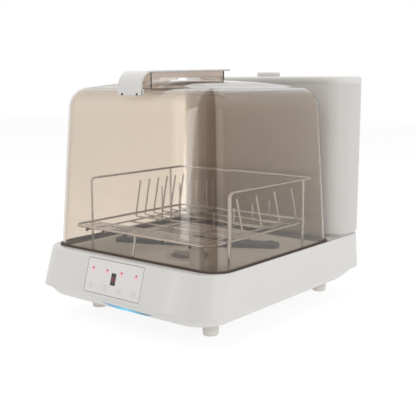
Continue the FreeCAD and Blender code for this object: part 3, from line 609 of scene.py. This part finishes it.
panel_white = moulded(
    "panel_gloss", (0.78, 0.765, 0.745), (0.76, 0.745, 0.725), 0.18, coat=0.4, bump=0.01,
)
panel_tree = panel_white.node_tree
panel_shader = panel_tree.nodes["Principled BSDF"]
# Painted light: a pink halo painted into the plate's colour and glow round each red light, standing
# in for their light shining through the plate.
spot_places = [panel_place @ Vector((x, 0, light_low - 0.4 * mm)) for x in columns]
painted_panel_glow = node(
    panel_tree, "ShaderNodeGroup", node_tree=painted_glow_spots(spot_places, 6.4 * mm),
).outputs["Mask"]
panel_tone = panel_shader.inputs["Base Color"].links[0].from_socket
feed(panel_tree, panel_shader, {
    "Base Color": mixed(panel_tree, painted_panel_glow, panel_tone, (0.79, 0.50, 0.53, 1)),
    "Emission Color": mixed(panel_tree, painted_panel_glow, (0, 0, 0, 1), (0.50, 0.06, 0.09, 1)),
    "Emission Strength": 0.55,
})
bm = bmesh.new()
front_plate(bm, -panel_half, panel_half, panel_low, panel_high, 0.1 * mm, 1.7 * mm, 2 * mm)
finish_piece("panel_plate", bm, panel_white, "base", ["control_panel"])

# Painted shade: a tan-grey sheet, darker than the white housing, laid at the floor of the groove
# round the plate to stand for the shade in the groove.
groove_painted_shade = moulded("panel_groove", (0.62, 0.57, 0.49), (0.57, 0.52, 0.45), 0.6)
groove_line = 1 * mm
bm = bmesh.new()
front_plate(
    bm, -panel_half - groove_line, panel_half + groove_line, panel_low - groove_line,
    panel_high + groove_line, 1.7 * mm, 1.95 * mm, 2.6 * mm,
)
finish_piece("panel_shadow_line", bm, groove_painted_shade, "base")
window_black = moulded(
    "window_black", (0.012, 0.010, 0.012), (0.02, 0.015, 0.02), 0.12, coat=0.5, bump=0.0,
)
window_half = 5.25 * mm
window_low = panel_low + 16.8 * mm
window_high = window_low + 19.5 * mm
bm = bmesh.new()
front_plate(
    bm, -window_half, window_half, window_low, window_high, -0.05 * mm, 1.6 * mm, 0.8 * mm,
)
finish_piece("figure_window", bm, window_black, "base", ["display_window"])


def block(bm, x0, x1, y0, y1, z0, z1):
    """A plain block between two corners."""
    made = bmesh.ops.create_cube(bm, size=1.0)["verts"]
    bmesh.ops.scale(bm, vec=(x1 - x0, y1 - y0, z1 - z0), verts=made)
    bmesh.ops.translate(bm, vec=((x0 + x1) / 2, (y0 + y1) / 2, (z0 + z1) / 2), verts=made)
    return made


def glowing(name, colour, strength):
    """Coloured plastic lit from behind, a little brighter in some places than in others."""
    material = moulded(name, colour, colour, 0.3, bump=0.02)
    tree = material.node_tree
    brighter = [min(1.0, 1.25 * part + 0.05) for part in colour]
    feed(tree, tree.nodes["Principled BSDF"], {
        "Emission Color": mixed(tree, noise(tree, 260), (*colour, 1), (*brighter, 1)),
        "Emission Strength": strength,
    })
    return material


figure_red = glowing("figure_red", (0.26, 0.03, 0.055), 0.25)
figure_x = 2.3 * mm
bar_long = 3.4 * mm
bar_thick = 0.75 * mm
row_step = (bar_long + bar_thick) / 1.15
window_middle = (window_low + window_high) / 2
bars = [(0, row * row_step, 1.1 * mm, bar_thick / 2) for row in (-1, 0, 1)]
bars += [
    (side * 1.45 * mm, half * row_step / 2, bar_thick / 2, bar_long / 2.6)
    for side in (-1, 1) for half in (-1, 1)
]
bm = bmesh.new()
for digit_x in (-figure_x, figure_x):
    for across, up, half_wide, half_tall in bars:
        x = digit_x + across
        z = window_middle + up
        onto_front(bm, block(
            bm, x - half_wide, x + half_wide, z - half_tall, z + half_tall, -0.12 * mm,
            0.05 * mm,
        ))
finish_piece("figures", bm, figure_red, "base")

light_red = glowing("light_red", (0.30, 0.04, 0.07), 0.4)
bm = bmesh.new()
for x in columns:
    front_plate(
        bm, x - light_half, x + light_half, light_low, light_low + 2 * light_half, -0.05 * mm,
        1.6 * mm, 0.6 * mm,
    )
finish_piece("red_lights", bm, light_red, "base", ["indicator_lights"])

glyph_grey = moulded("glyph_grey", (0.50, 0.49, 0.48), (0.54, 0.53, 0.52), 0.4, bump=0.0)
key_middle = panel_low + 10.5 * mm
glyph_radius = 4.2 * mm
glyph_line = 0.7 * mm
glyph_deep = 0.02 * mm
key_bars = (
    (glyph_line / 2, 0, 4 * mm), (1.2 * mm, -glyph_line / 2, glyph_line / 2), None,
    (0.4 * mm, -1.5 * mm, 1.5 * mm),
)


def circle(bm, radius, place=(0, 0, 0), steps=48, filled=False):
    """A round ring of vertices about a place."""
    made = bmesh.ops.create_circle(bm, cap_ends=filled, segments=steps, radius=radius)["verts"]
    bmesh.ops.translate(bm, vec=place, verts=made)
    return made


bm = bmesh.new()
for x, bar in zip(columns, key_bars):
    outer = circle(bm, glyph_radius, steps=32)
    inner = circle(bm, glyph_radius - glyph_line, steps=32)
    band(bm, outer, inner)
    if bar:
        half, low, high = bar
        mark = block(bm, -half, half, low, high, 0, glyph_deep)
    else:
        mark = circle(bm, 1.5 * mm, steps=3, filled=True)
    glyph = outer + inner + mark
    bmesh.ops.translate(bm, vec=(x, key_middle, glyph_deep), verts=glyph)
    onto_front(bm, glyph)
finish_piece("key_glyphs", bm, glyph_grey, "base")

# Wash tub. A pale grey moulding that hangs in the well by its flange, with drafted walls, a flat
# floor and a round sump for the filter.
tub_pale = moulded("tub_pale", (0.66, 0.645, 0.62), (0.62, 0.605, 0.58), 0.3, coat=0.15)
flange_top = 106.5 * mm
tub_half = 168 * mm
tub_front = -190 * mm
tub_rear = 117 * mm
tub_floor = 66 * mm
tub_corner = 34 * mm
tub_draft = 10 * mm
sump_place = Vector((-70 * mm, 30 * mm, tub_floor))
sump_radius = 40 * mm
sump_depth = 20 * mm


def tub(z, inset):
    """The tub's inner outline at a height, leaning in towards the floor."""
    share = (flange_top - z) / (flange_top - tub_floor)
    step = tub_draft * share + inset
    return (
        -tub_half + step, tub_half - step, tub_front + step, tub_rear - step, z, tub_corner - step,
    )


def close_round(bm, outer, hole):
    """Closes the flat stretch between an outline and a round hole in it."""
    edges = [bm.edges.get(pair) for pair in zip(outer, outer[1:] + outer[:1])]
    edges += {edge for vert in hole for edge in vert.link_edges}
    bmesh.ops.triangle_fill(
        bm, edges=edges, use_beauty=True, use_dissolve=False, normal=(0, 0, 1),
    )


bm = bmesh.new()
tub_rings = loft(bm, [
    well(well_floor + 0.2 * mm, -0.5 * mm), well(flange_top - 0.6 * mm, -0.5 * mm),
    well(flange_top, -1.1 * mm), tub(flange_top, -3 * mm), tub(flange_top - 0.9 * mm, -0.9 * mm),
    tub(flange_top - 3 * mm, 0), tub(tub_floor + 7 * mm, 0), tub(tub_floor + 2.5 * mm, 1.6 * mm),
    tub(tub_floor + 0.6 * mm, 4.6 * mm), tub(tub_floor, 8 * mm),
])
drop = circle(bm, sump_radius, sump_place)
close_round(bm, tub_rings[-1], drop)
pit = circle(bm, sump_radius, sump_place - Vector((0, 0, sump_depth)), filled=True)
band(bm, drop, pit)
finish_piece("tub", bm, tub_pale, "base", ["wash_tub"], sharp=40)

# Filter basket. A pale grey plastic cup with slots in its wall, a flat flange that lies on the tub
# floor and a grip bar across its mouth.


def refinish(name, material):
    """Gives a CAD node a finish of its own."""
    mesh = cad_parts[name].data
    mesh.materials.clear()
    mesh.materials.append(material)


filter_grey = moulded(
    "filter_grey", (0.50, 0.485, 0.46), (0.45, 0.435, 0.41), 0.38, grain=1400, bump=0.1,
)
refinish("filter_basket", filter_grey)

# Spray arm. A dark grey hollow blade with two round ends that narrows outwards, turns on the hub's
# pin and throws water from three nozzles on each half.
arm_dark = moulded("arm_dark", (0.050, 0.062, 0.078), (0.064, 0.076, 0.094), 0.32, coat=0.1)
arm_y = -34 * mm
arm_reach = 146 * mm
arm_bottom = 107 * mm
arm_top = 118 * mm
arm_angle = math.radians(27)
tip_radius = 11 * mm
root_half = 17 * mm
run_share = 0.55
nozzle_shares = (0.35, 0.62, 0.9)


def blade_outline(bm, z, inset):
    """The arm's outline: a long shape with round ends, widest over the hub."""
    made = circle(bm, 1.0, steps=96)
    reach = arm_reach - tip_radius
    for vert in made:
        angle = math.atan2(vert.co.y, vert.co.x)
        share = abs(math.cos(angle))
        side = math.copysign(1, math.cos(angle))
        if share > run_share:
            swing = math.asin(min(1.0, (share - run_share) / (1 - run_share)))
            along = reach + (tip_radius - inset) * math.sin(swing)
            width = math.cos(swing) * (tip_radius - inset)
        else:
            along = reach * share / run_share
            width = root_half + (tip_radius - root_half) * share / run_share - inset
        vert.co = (side * along, math.copysign(width, math.sin(angle)), z)
    return made


bm = bmesh.new()
blade_rings = [
    blade_outline(bm, z, inset) for z, inset in (
        (arm_bottom + 0.1 * mm, 3 * mm), (arm_bottom + 0.6 * mm, 1.4 * mm),
        (arm_bottom + 2 * mm, 0.3 * mm), (arm_bottom + 4 * mm, 0), (arm_top - 4 * mm, 0),
        (arm_top - 1.8 * mm, 0.7 * mm), (arm_top - 0.5 * mm, 2.2 * mm), (arm_top, 4.5 * mm),
    )
]
for low, high in zip(blade_rings, blade_rings[1:]):
    band(bm, low, high)
bm.faces.new(blade_rings[0])
bm.faces.new(blade_rings[-1])
for side in (-1, 1):
    for share in nozzle_shares:
        aside = side * (1 - share) * tip_radius
        place = (side * share * arm_reach, aside, arm_top + 0.8 * mm)
        cone(bm, 4.4 * mm, 3.2 * mm, 2.4 * mm, place, steps=24)
bmesh.ops.rotate(bm, cent=(0, 0, 0), matrix=Matrix.Rotation(arm_angle, 3, "Z"), verts=bm.verts)
bmesh.ops.translate(bm, vec=(0, arm_y, 0), verts=bm.verts)
finish_piece("spray_blade", bm, arm_dark, "arm", ["spray_arm"], sharp=40)

# Hub of the arm. A fixed pale stem that brings the water up through the tub floor, with a dark nut
# on top of it that holds the arm on its pin.
hub_tones = moulded("hub_pale", (0.66, 0.645, 0.62), (0.62, 0.605, 0.58), 0.3)
hub_tree = hub_tones.node_tree
hub_shader = hub_tree.nodes["Principled BSDF"]
hub_axes = node(hub_tree, "ShaderNodeSeparateXYZ", {"Vector": object_place(hub_tree)})
hub_share = maths(hub_tree, "GREATER_THAN", hub_axes.outputs["Z"], arm_bottom)
hub_pale = hub_shader.inputs["Base Color"].links[0].from_socket
feed(hub_tree, hub_shader, {
    "Base Color": mixed(hub_tree, hub_share, hub_pale, (0.045, 0.055, 0.068, 1)),
})
refinish("arm_hub", hub_tones)

# Dish rack. Bright plated steel wire, bent and spot-welded: a rail on four posts, a ring at floor
# height, long and cross wires under it, fine wires for a front shelf, and two rows of prongs.
steel_wire = moulded(
    "bright_wire", (0.58, 0.575, 0.57), (0.66, 0.655, 0.65), 0.16, spread=0.12, grain=2200,
    bump=0.05, metal=1.0,
)
wire_radius = 2 * mm
fine_radius = 1.5 * mm
shelf_radius = 1 * mm
bend_steps = 8


def bent_line(points, bend):
    """A run of straight pieces whose corners are bent to a radius."""
    line = [points[0]]
    for before, corner, after in zip(points, points[1:], points[2:]):
        back = (before - corner).normalized()
        ahead = (after - corner).normalized()
        half = back.angle(ahead) / 2
        start = corner + back * bend / math.tan(half)
        centre = corner + (back + ahead).normalized() * bend / math.sin(half)
        sweep = math.pi - 2 * half
        axis = back.cross(ahead).normalized()
        arm = start - centre
        for step in range(bend_steps + 1):
            turned = arm.copy()
            turned.rotate(Matrix.Rotation(-sweep * step / bend_steps, 3, axis))
            line.append(centre + turned)
    line.append(points[-1])
    return line


def wires(name, runs, replaced):
    """Round wires along lines (points, radius), made as one piece."""
    curve = bpy.data.curves.new(name, "CURVE")
    curve.dimensions = "3D"
    curve.bevel_depth = 1.0
    curve.bevel_resolution = 4
    curve.use_fill_caps = True
    for points, radius in runs:
        spline = curve.splines.new("POLY")
        spline.points.add(len(points) - 1)
        for point, place in zip(spline.points, points):
            point.co = (*place, 1)
            point.radius = radius
    holder = bpy.data.objects.new(name, curve)
    bpy.context.scene.collection.objects.link(holder)
    mesh = bpy.data.meshes.new_from_object(holder)
    bpy.data.objects.remove(holder)
    bm = bmesh.new()
    bm.from_mesh(mesh)
    bpy.data.meshes.remove(mesh)
    finish_piece(name, bm, steel_wire, "rack", replaced, sharp=60)


rack_half = 151 * mm
rail_z = 224 * mm
ring_z = 148 * mm
ring_half = rack_half - 2 * wire_radius + 0.2 * mm
ring_front = -185 * mm
rack_rear = 105 * mm
post_front = -137 * mm
post_middle = 72 * mm
rail = bent_line([
    Vector((-rack_half, post_front, tub_floor)), Vector((-rack_half, post_front, rail_z)),
    Vector((-rack_half, rack_rear, rail_z)), Vector((rack_half, rack_rear, rail_z)),
    Vector((rack_half, post_front, rail_z)), Vector((rack_half, post_front, tub_floor)),
], 8 * mm)
ring = bent_line([
    Vector((0, ring_front, ring_z)), Vector((ring_half, ring_front, ring_z)),
    Vector((ring_half, rack_rear, ring_z)), Vector((-ring_half, rack_rear, ring_z)),
    Vector((-ring_half, ring_front, ring_z)), Vector((0, ring_front, ring_z)),
], 20 * mm)
frame_runs = [(rail, wire_radius), (ring, wire_radius)]
for side in (-1, 1):
    frame_runs.append(([
        Vector((side * rack_half, post_middle, tub_floor)),
        Vector((side * rack_half, post_middle, rail_z)),
    ], wire_radius))
frame_runs.append(([
    Vector((0, ring_front, ring_z)), Vector((0, ring_front - 7 * mm, flange_top + wire_radius)),
], wire_radius))
wires("rack_rail_and_ring", frame_runs, ["rack_frame"])

floor_wire_x = [x * mm for x in (-110, -72, -20, 60, 115)]
floor_z = ring_z - wire_radius - fine_radius
cross_z = floor_z - 2 * fine_radius + 0.2 * mm
floor_runs = [
    ([Vector((x, ring_front - wire_radius, floor_z)), Vector((x, rack_rear, floor_z))], fine_radius)
    for x in floor_wire_x
]
for index in range(5):
    y = (-127 + 52 * index) * mm
    left, right = floor_wire_x[0] - 6 * mm, floor_wire_x[-1] + 6 * mm
    floor_runs.append(([Vector((left, y, cross_z)), Vector((right, y, cross_z))], fine_radius))
wires("rack_floor_wires", floor_runs, ["rack_floor"])

shelf_z = floor_z + fine_radius + shelf_radius
shelf_reach = rack_half - 6 * wire_radius
wires("rack_shelf_wires", [
    ([Vector((-shelf_reach, y, shelf_z)), Vector((shelf_reach, y, shelf_z))], shelf_radius)
    for y in [(-175 + 10 * index) * mm for index in range(5)]
], ["rack_shelf"])


def pronged_wire(y, outer_x, inner_x, outer_top, inner_top, lean_in):
    """One wire across the rack floor with both its ends bent up as prongs."""
    z = floor_z + 2 * fine_radius
    toward = math.copysign(1, inner_x - outer_x)
    return (bent_line([
        Vector((outer_x + toward * lean_in, y, outer_top)), Vector((outer_x, y, z)),
        Vector((inner_x, y, z)), Vector((inner_x, y, inner_top)),
    ], 3 * mm), fine_radius)


wires("plate_prong_wires", [
    pronged_wire((-54 + 24 * index) * mm, -125 * mm, -60 * mm, 215 * mm, 208 * mm, 13 * mm)
    for index in range(7)
], ["plate_prongs"])
wires("bowl_prong_wires", [
    pronged_wire((-62 + 54.5 * index) * mm, 120 * mm, 62 * mm, 202 * mm, 176 * mm, 12 * mm)
    for index in range(4)
], ["bowl_prongs"])

# Rack boots. Small dark vinyl caps dipped on to the front ends of the long wires, so that their
# cut ends don't scratch the tub or the dishes.
boot_vinyl = moulded("boot_vinyl", (0.020, 0.024, 0.034), (0.030, 0.034, 0.044), 0.45, bump=0.06)
bm = bmesh.new()
for x in floor_wire_x:
    boot = bmesh.ops.create_uvsphere(bm, u_segments=24, v_segments=12, radius=2.6 * mm)["verts"]
    bmesh.ops.translate(bm, vec=(x, ring_front - wire_radius - 0.4 * mm, floor_z), verts=boot)
finish_piece("boot_caps", bm, boot_vinyl, "rack", ["rack_boots"])

# Hood. One clear smoky moulding, 3 mm thick, with leaning walls, wide round edges and a lightly
# crowned top. It stands in the well on its seal and lifts off.
hood_foot = 109 * mm
hood_shoulder = 381 * mm
hood_crown = 11.9 * mm
hood_corner = 32 * mm
hood_wall = 3 * mm
hood_half = 179.5 * mm
hood_front = -201.5 * mm
hood_rear = 128.5 * mm
hood_side_draft = 15.5 * mm
hood_front_draft = 13.5 * mm
hood_rear_draft = 10.5 * mm
shoulder_steps = 10
crown_steps = 9


def hood_outline(z, inset, inner):
    """The hood's outline at a height, drawn in by an inset and by the thickness of its wall."""
    share = (z - hood_foot) / (hood_shoulder - hood_foot)
    step = inset + inner
    return (
        -hood_half + hood_side_draft * share + step, hood_half - hood_side_draft * share - step,
        hood_front + hood_front_draft * share + step, hood_rear - hood_rear_draft * share - step,
        z, max(hood_corner - step, 0.4 * mm),
    )


def hood_skin(bm, inner):
    """One skin of the hood from its foot to the middle of its crowned top."""
    top = hood_shoulder - inner
    radius = hood_corner - inner
    shapes = [hood_outline(hood_foot, 0, inner), hood_outline(top - radius, 0, inner)]
    for step in range(1, shoulder_steps):
        angle = math.pi / 2 * step / shoulder_steps
        z = top - radius + radius * math.sin(angle)
        x0, x1, y0, y1, _, corner = hood_outline(z, radius * (1 - math.cos(angle)), inner)
        shapes.append((x0, x1, y0, y1, z, corner))
    x0, x1, y0, y1, _, corner = hood_outline(top, radius - 0.5 * mm, inner)
    middle_y = (y0 + y1) / 2
    half_y = (y1 - y0) / 2
    for step in range(crown_steps):
        share = 1 - step / crown_steps
        rise = 1 - share ** 3.2
        low_half = min(x1, half_y) * share
        shapes.append((
            -x1 * share, x1 * share, middle_y - half_y * share, middle_y + half_y * share,
            top + hood_crown * rise, max(corner, low_half * min(1.0, 1.3 * (1 - share))) * 0.98,
        ))
    rings = loft(bm, shapes)
    peak = bmesh.ops.create_vert(bm, co=(0, middle_y, top + hood_crown))["vert"][0]
    for index in range(len(rings[-1])):
        bm.faces.new((rings[-1][index - 1], rings[-1][index], peak))
    return rings[0]


def painted_corner_shade():
    """Mask of painted shade on the near front corner, by the turn round the corner's upright axis.
    """
    group = node_group("painted_corner_shade", (), ("Mask",))
    axes = node(group, "ShaderNodeSeparateXYZ", {"Vector": object_place(group)}).outputs
    rise = hood_shoulder - hood_foot
    offsets = []
    for axis, sign, start, draft in (
        ("X", 1, hood_half - hood_corner, hood_side_draft),
        ("Y", -1, -hood_front - hood_corner, hood_front_draft),
    ):
        slope = draft / rise
        upright = maths(group, "MULTIPLY_ADD", axes["Z"], slope, -start - slope * hood_foot)
        offsets.append(maths(group, "MULTIPLY_ADD", axes[axis], sign, upright))
    turn = map_range(
        group, maths(group, "ARCTAN2", *offsets), from_min=math.radians(-10),
        from_max=math.radians(90),
    )
    shade_levels = (
        (0.04, 0.0), (0.065, 0.45), (0.18, 0.72), (0.26, 0.70), (0.34, 0.9), (0.46, 1.0),
        (0.555, 1.0), (0.585, 0.2), (0.70, 0.0),
    )
    stops = [(position, (depth,) * 3) for position, depth in shade_levels]
    mask = colour_ramp(group, turn, (0, 0, 0), (0, 0, 0), stops)
    node(group, "NodeGroupOutput", {"Mask": mask})
    return group


smoky_clear, smoky_tree, smoky_shader = new_material("smoky_clear")
facing = node(smoky_tree, "ShaderNodeLayerWeight", {"Blend": 0.35}).outputs["Facing"]
tint = mixed(smoky_tree, facing, (0.918, 0.842, 0.752, 1), (0.42, 0.385, 0.365, 1))
# Painted shade: a dark band painted into the smoke's colour round the near front corner, standing
# in for the dark surroundings seen in the bend.
painted_corner_shade_mask = node(smoky_tree, "ShaderNodeGroup", node_tree=painted_corner_shade()).outputs["Mask"]
feed(smoky_tree, smoky_shader, {
    "Transmission Weight": 1.0, "IOR": 1.46,
    "Roughness": map_range(smoky_tree, noise(smoky_tree, 9), to_min=0.02, to_max=0.06),
    "Base Color": mixed(smoky_tree, painted_corner_shade_mask, tint, (0.50, 0.43, 0.355, 1), "MULTIPLY"),
})
shadow_pass = node(smoky_tree, "ShaderNodeBsdfTransparent", {"Color": (0.845, 0.83, 0.815, 1)})
hood_light = node(smoky_tree, "ShaderNodeMixShader", {
    "Fac": node(smoky_tree, "ShaderNodeLightPath").outputs["Is Shadow Ray"],
    1: smoky_shader.outputs[0], 2: shadow_pass.outputs[0],
})
feed(smoky_tree, smoky_tree.nodes["Material Output"], {"Surface": hood_light.outputs[0]})

bm = bmesh.new()
band(bm, hood_skin(bm, 0), hood_skin(bm, hood_wall))
finish_piece("smoky_hood", bm, smoky_clear, "hood", ["hood_shell"], sharp=50)

# Seal. A dark rubber channel pressed on to the hood's lower edge, which stands in the well with
# the hood and keeps the spray in.
seal_dark = moulded("seal_dark", (0.085, 0.060, 0.046), (0.11, 0.08, 0.062), 0.5, bump=0.1)
seal_top = 116.6 * mm


def seal_outline(z, grow):
    """An outline round the hood's foot, grown outwards or drawn in."""
    return (
        -hood_half - grow, hood_half + grow, hood_front - grow, hood_rear + grow, z,
        hood_corner + grow,
    )


bm = bmesh.new()
seal_rings = loft(bm, [
    seal_outline(hood_foot - 0.3 * mm, -hood_wall), seal_outline(hood_foot - 0.3 * mm, 0.2 * mm),
    seal_outline(seal_top - 0.3 * mm, 0.1 * mm), seal_outline(seal_top, 0.5 * mm),
    seal_outline(seal_top, 1.2 * mm), seal_outline(seal_top - 0.7 * mm, 1.9 * mm),
    seal_outline(hood_foot - 1.5 * mm, 2 * mm), seal_outline(flange_top + 0.05 * mm, 1.4 * mm),
    seal_outline(flange_top + 0.05 * mm, -hood_wall - 0.6 * mm),
    seal_outline(hood_foot - 0.9 * mm, -hood_wall - 1 * mm),
])
band(bm, seal_rings[-1], seal_rings[0])
finish_piece("hood_edge_seal", bm, seal_dark, "hood", ["hood_seal"])

# Handle. A white plastic strap that comes up before the hood's front, bends over its edge and runs
# back along the top, on a smoky channel with a finger slot in each side.
strap_half = 25 * mm
strap_thick = 3 * mm
strap_front = -194.5 * mm
strap_low = 370 * mm
strap_side = bent_line([
    Vector((0, strap_front, strap_low)), Vector((0, strap_front, 407 * mm)),
    Vector((0, 30 * mm, 412 * mm)),
], 25 * mm)
bm = bmesh.new()
first = [bm.verts.new(point + Vector((-strap_half, 0, 0))) for point in strap_side]
strap_line = [bm.edges.new(pair) for pair in zip(first, first[1:])]
swept = bmesh.ops.extrude_edge_only(bm, edges=strap_line)["geom"]
bmesh.ops.translate(
    bm, vec=(2 * strap_half, 0, 0),
    verts=[item for item in swept if isinstance(item, bmesh.types.BMVert)],
)
bmesh.ops.recalc_face_normals(bm, faces=bm.faces)
if sum(face.normal.z for face in bm.faces) < 0:
    bmesh.ops.reverse_faces(bm, faces=bm.faces)
bmesh.ops.solidify(bm, geom=bm.faces, thickness=strap_thick)
block(
    bm, -strap_half, strap_half, strap_front + 0.1 * mm, strap_front + 7 * mm, strap_low,
    strap_low + 9 * mm,
)
corners = [
    edge for edge in bm.edges
    if len(edge.link_faces) == 2 and edge.calc_face_angle() > math.radians(60)
]
soften(bm, corners, 0.7 * mm)
finish_piece("handle_strap", bm, white_plastic, "hood", ["hood_strap"])

screw_dark = moulded(
    "screw_dark", (0.05, 0.045, 0.045), (0.08, 0.07, 0.07), 0.35, metal=1.0, bump=0.1,
)
bm = bmesh.new()
for x in (-16 * mm, 16 * mm):
    place = (x, strap_front - 0.2 * mm, strap_low + 1.4 * mm)
    head = cone(bm, 2.1 * mm, 1.5 * mm, 1.2 * mm, place, steps=24)
    bmesh.ops.rotate(bm, cent=place, matrix=Matrix.Rotation(math.pi / 2, 3, "X"), verts=head)
finish_piece("strap_screws", bm, screw_dark, "hood")

channel_smoke = moulded("channel_smoke", (0.74, 0.67, 0.61), (0.66, 0.59, 0.53), 0.08, bump=0.0)
feed(channel_smoke.node_tree, channel_smoke.node_tree.nodes["Principled BSDF"], {
    "Transmission Weight": 1.0,
})
refinish("handle_channel", channel_smoke)

# Water tank. A tall white blow-moulded tank with wide round corners that stands on the plinth,
# and a lid moulded to match, with a round mouth for the filler cap.
tank_white = moulded("tank_white", (0.645, 0.62, 0.595), (0.615, 0.59, 0.565), 0.3, coat=0.15)
bm = bmesh.new()
tank_rings = loft(bm, [
    tank_outline(tank_bottom, 4 * mm), tank_outline(tank_bottom + 0.8 * mm, 1.6 * mm),
    tank_outline(tank_bottom + 3 * mm, 0), tank_outline(tank_body_top - 0.2 * mm, 0),
    tank_outline(tank_body_top, 0.2 * mm),
])
bm.faces.new(tank_rings[0])
bm.faces.new(tank_rings[-1])
finish_piece("tank_body", bm, tank_white, "base", ["water_tank"])

tank_top = 400 * mm
cap_y = 187 * mm
throat_radius = 17.5 * mm
bm = bmesh.new()
lid_rings = loft(bm, [
    tank_outline(tank_body_top + 0.05 * mm, 0.25 * mm), tank_outline(tank_body_top + 0.3 * mm, 0),
    tank_outline(tank_top - 4.2 * mm, 0), tank_outline(tank_top - 2.2 * mm, 0.7 * mm),
    tank_outline(tank_top - 0.8 * mm, 2.1 * mm), tank_outline(tank_top, 4.4 * mm),
])
mouth = circle(bm, throat_radius, (0, cap_y, tank_top))
close_round(bm, lid_rings[-1], mouth)
throat = circle(bm, throat_radius, (0, cap_y, tank_body_top + 1 * mm))
band(bm, mouth, throat)
bm.faces.new(lid_rings[0])
lid_white = moulded("lid_white", (0.74, 0.715, 0.69), (0.71, 0.685, 0.66), 0.3, coat=0.15)
finish_piece("tank_cover", bm, lid_white, "base", ["tank_lid"], sharp=45)

# Filler cap. A plain white disc with a softened rim, moulded in one piece with the plug below it
# that seals the tank's mouth.
cap_white = moulded("cap_white", (0.70, 0.675, 0.65), (0.67, 0.645, 0.62), 0.32, coat=0.1)
bm = bmesh.new()
cap_profile = [
    (0.0, 408.0), (19.6, 408.0), (20.8, 407.7), (21.6, 407.0), (21.9, 405.8), (21.9, 401.0),
    (21.4, 400.4), (17.0, 400.4), (16.6, 391.4), (0.0, 391.4),
]
profile = [bm.verts.new((radius * mm, 0, z * mm)) for radius, z in cap_profile]
profile_edges = [bm.edges.new(pair) for pair in zip(profile, profile[1:])]
bmesh.ops.spin(
    bm, geom=profile + profile_edges, cent=(0, 0, 0), axis=(0, 0, 1), angle=2 * math.pi, steps=96,
    use_merge=True,
)
bmesh.ops.translate(bm, vec=(0, cap_y, 0), verts=bm.verts)
finish_piece("screw_cap", bm, cap_white, "cap", ["filler_cap"], sharp=40)

# Rear fittings. A black socket for the mains lead and a grey stub for the drain hose, each in a
# pocket of the housing's rear wall.
black_plastic = moulded(
    "black_plastic", (0.02, 0.02, 0.021), (0.03, 0.03, 0.031), 0.4, grain=1400, bump=0.08,
)
hose_grey = moulded("hose_grey", (0.32, 0.31, 0.30), (0.28, 0.27, 0.26), 0.5, bump=0.1)
refinish("power_inlet", black_plastic)
refinish("drain_outlet", hose_grey)

# Works inside the base. Pumps, heater, hoses, valve and circuit boards, fixed to the tray and the
# housing, each in its own plastic or steel.
board_green = moulded(
    "board_green", (0.03, 0.14, 0.07), (0.05, 0.18, 0.09), 0.35, grain=700, bump=0.15,
)
pump_grey = moulded("pump_grey", (0.12, 0.12, 0.12), (0.16, 0.16, 0.16), 0.45, bump=0.1)
heater_steel = moulded(
    "heater_steel", (0.52, 0.51, 0.50), (0.60, 0.59, 0.58), 0.28, metal=1.0, bump=0.05,
)
valve_white = moulded("valve_white", (0.66, 0.65, 0.62), (0.62, 0.61, 0.58), 0.4)
for name, material in (
    ("touch_pads", heater_steel), ("control_board", board_green), ("lamp_board", board_green),
    ("main_board", board_green), ("wash_pump", pump_grey), ("drain_pump", pump_grey),
    ("water_heater", heater_steel), ("hoses", hose_grey), ("fill_valve", valve_white),
):
    refinish(name, material)
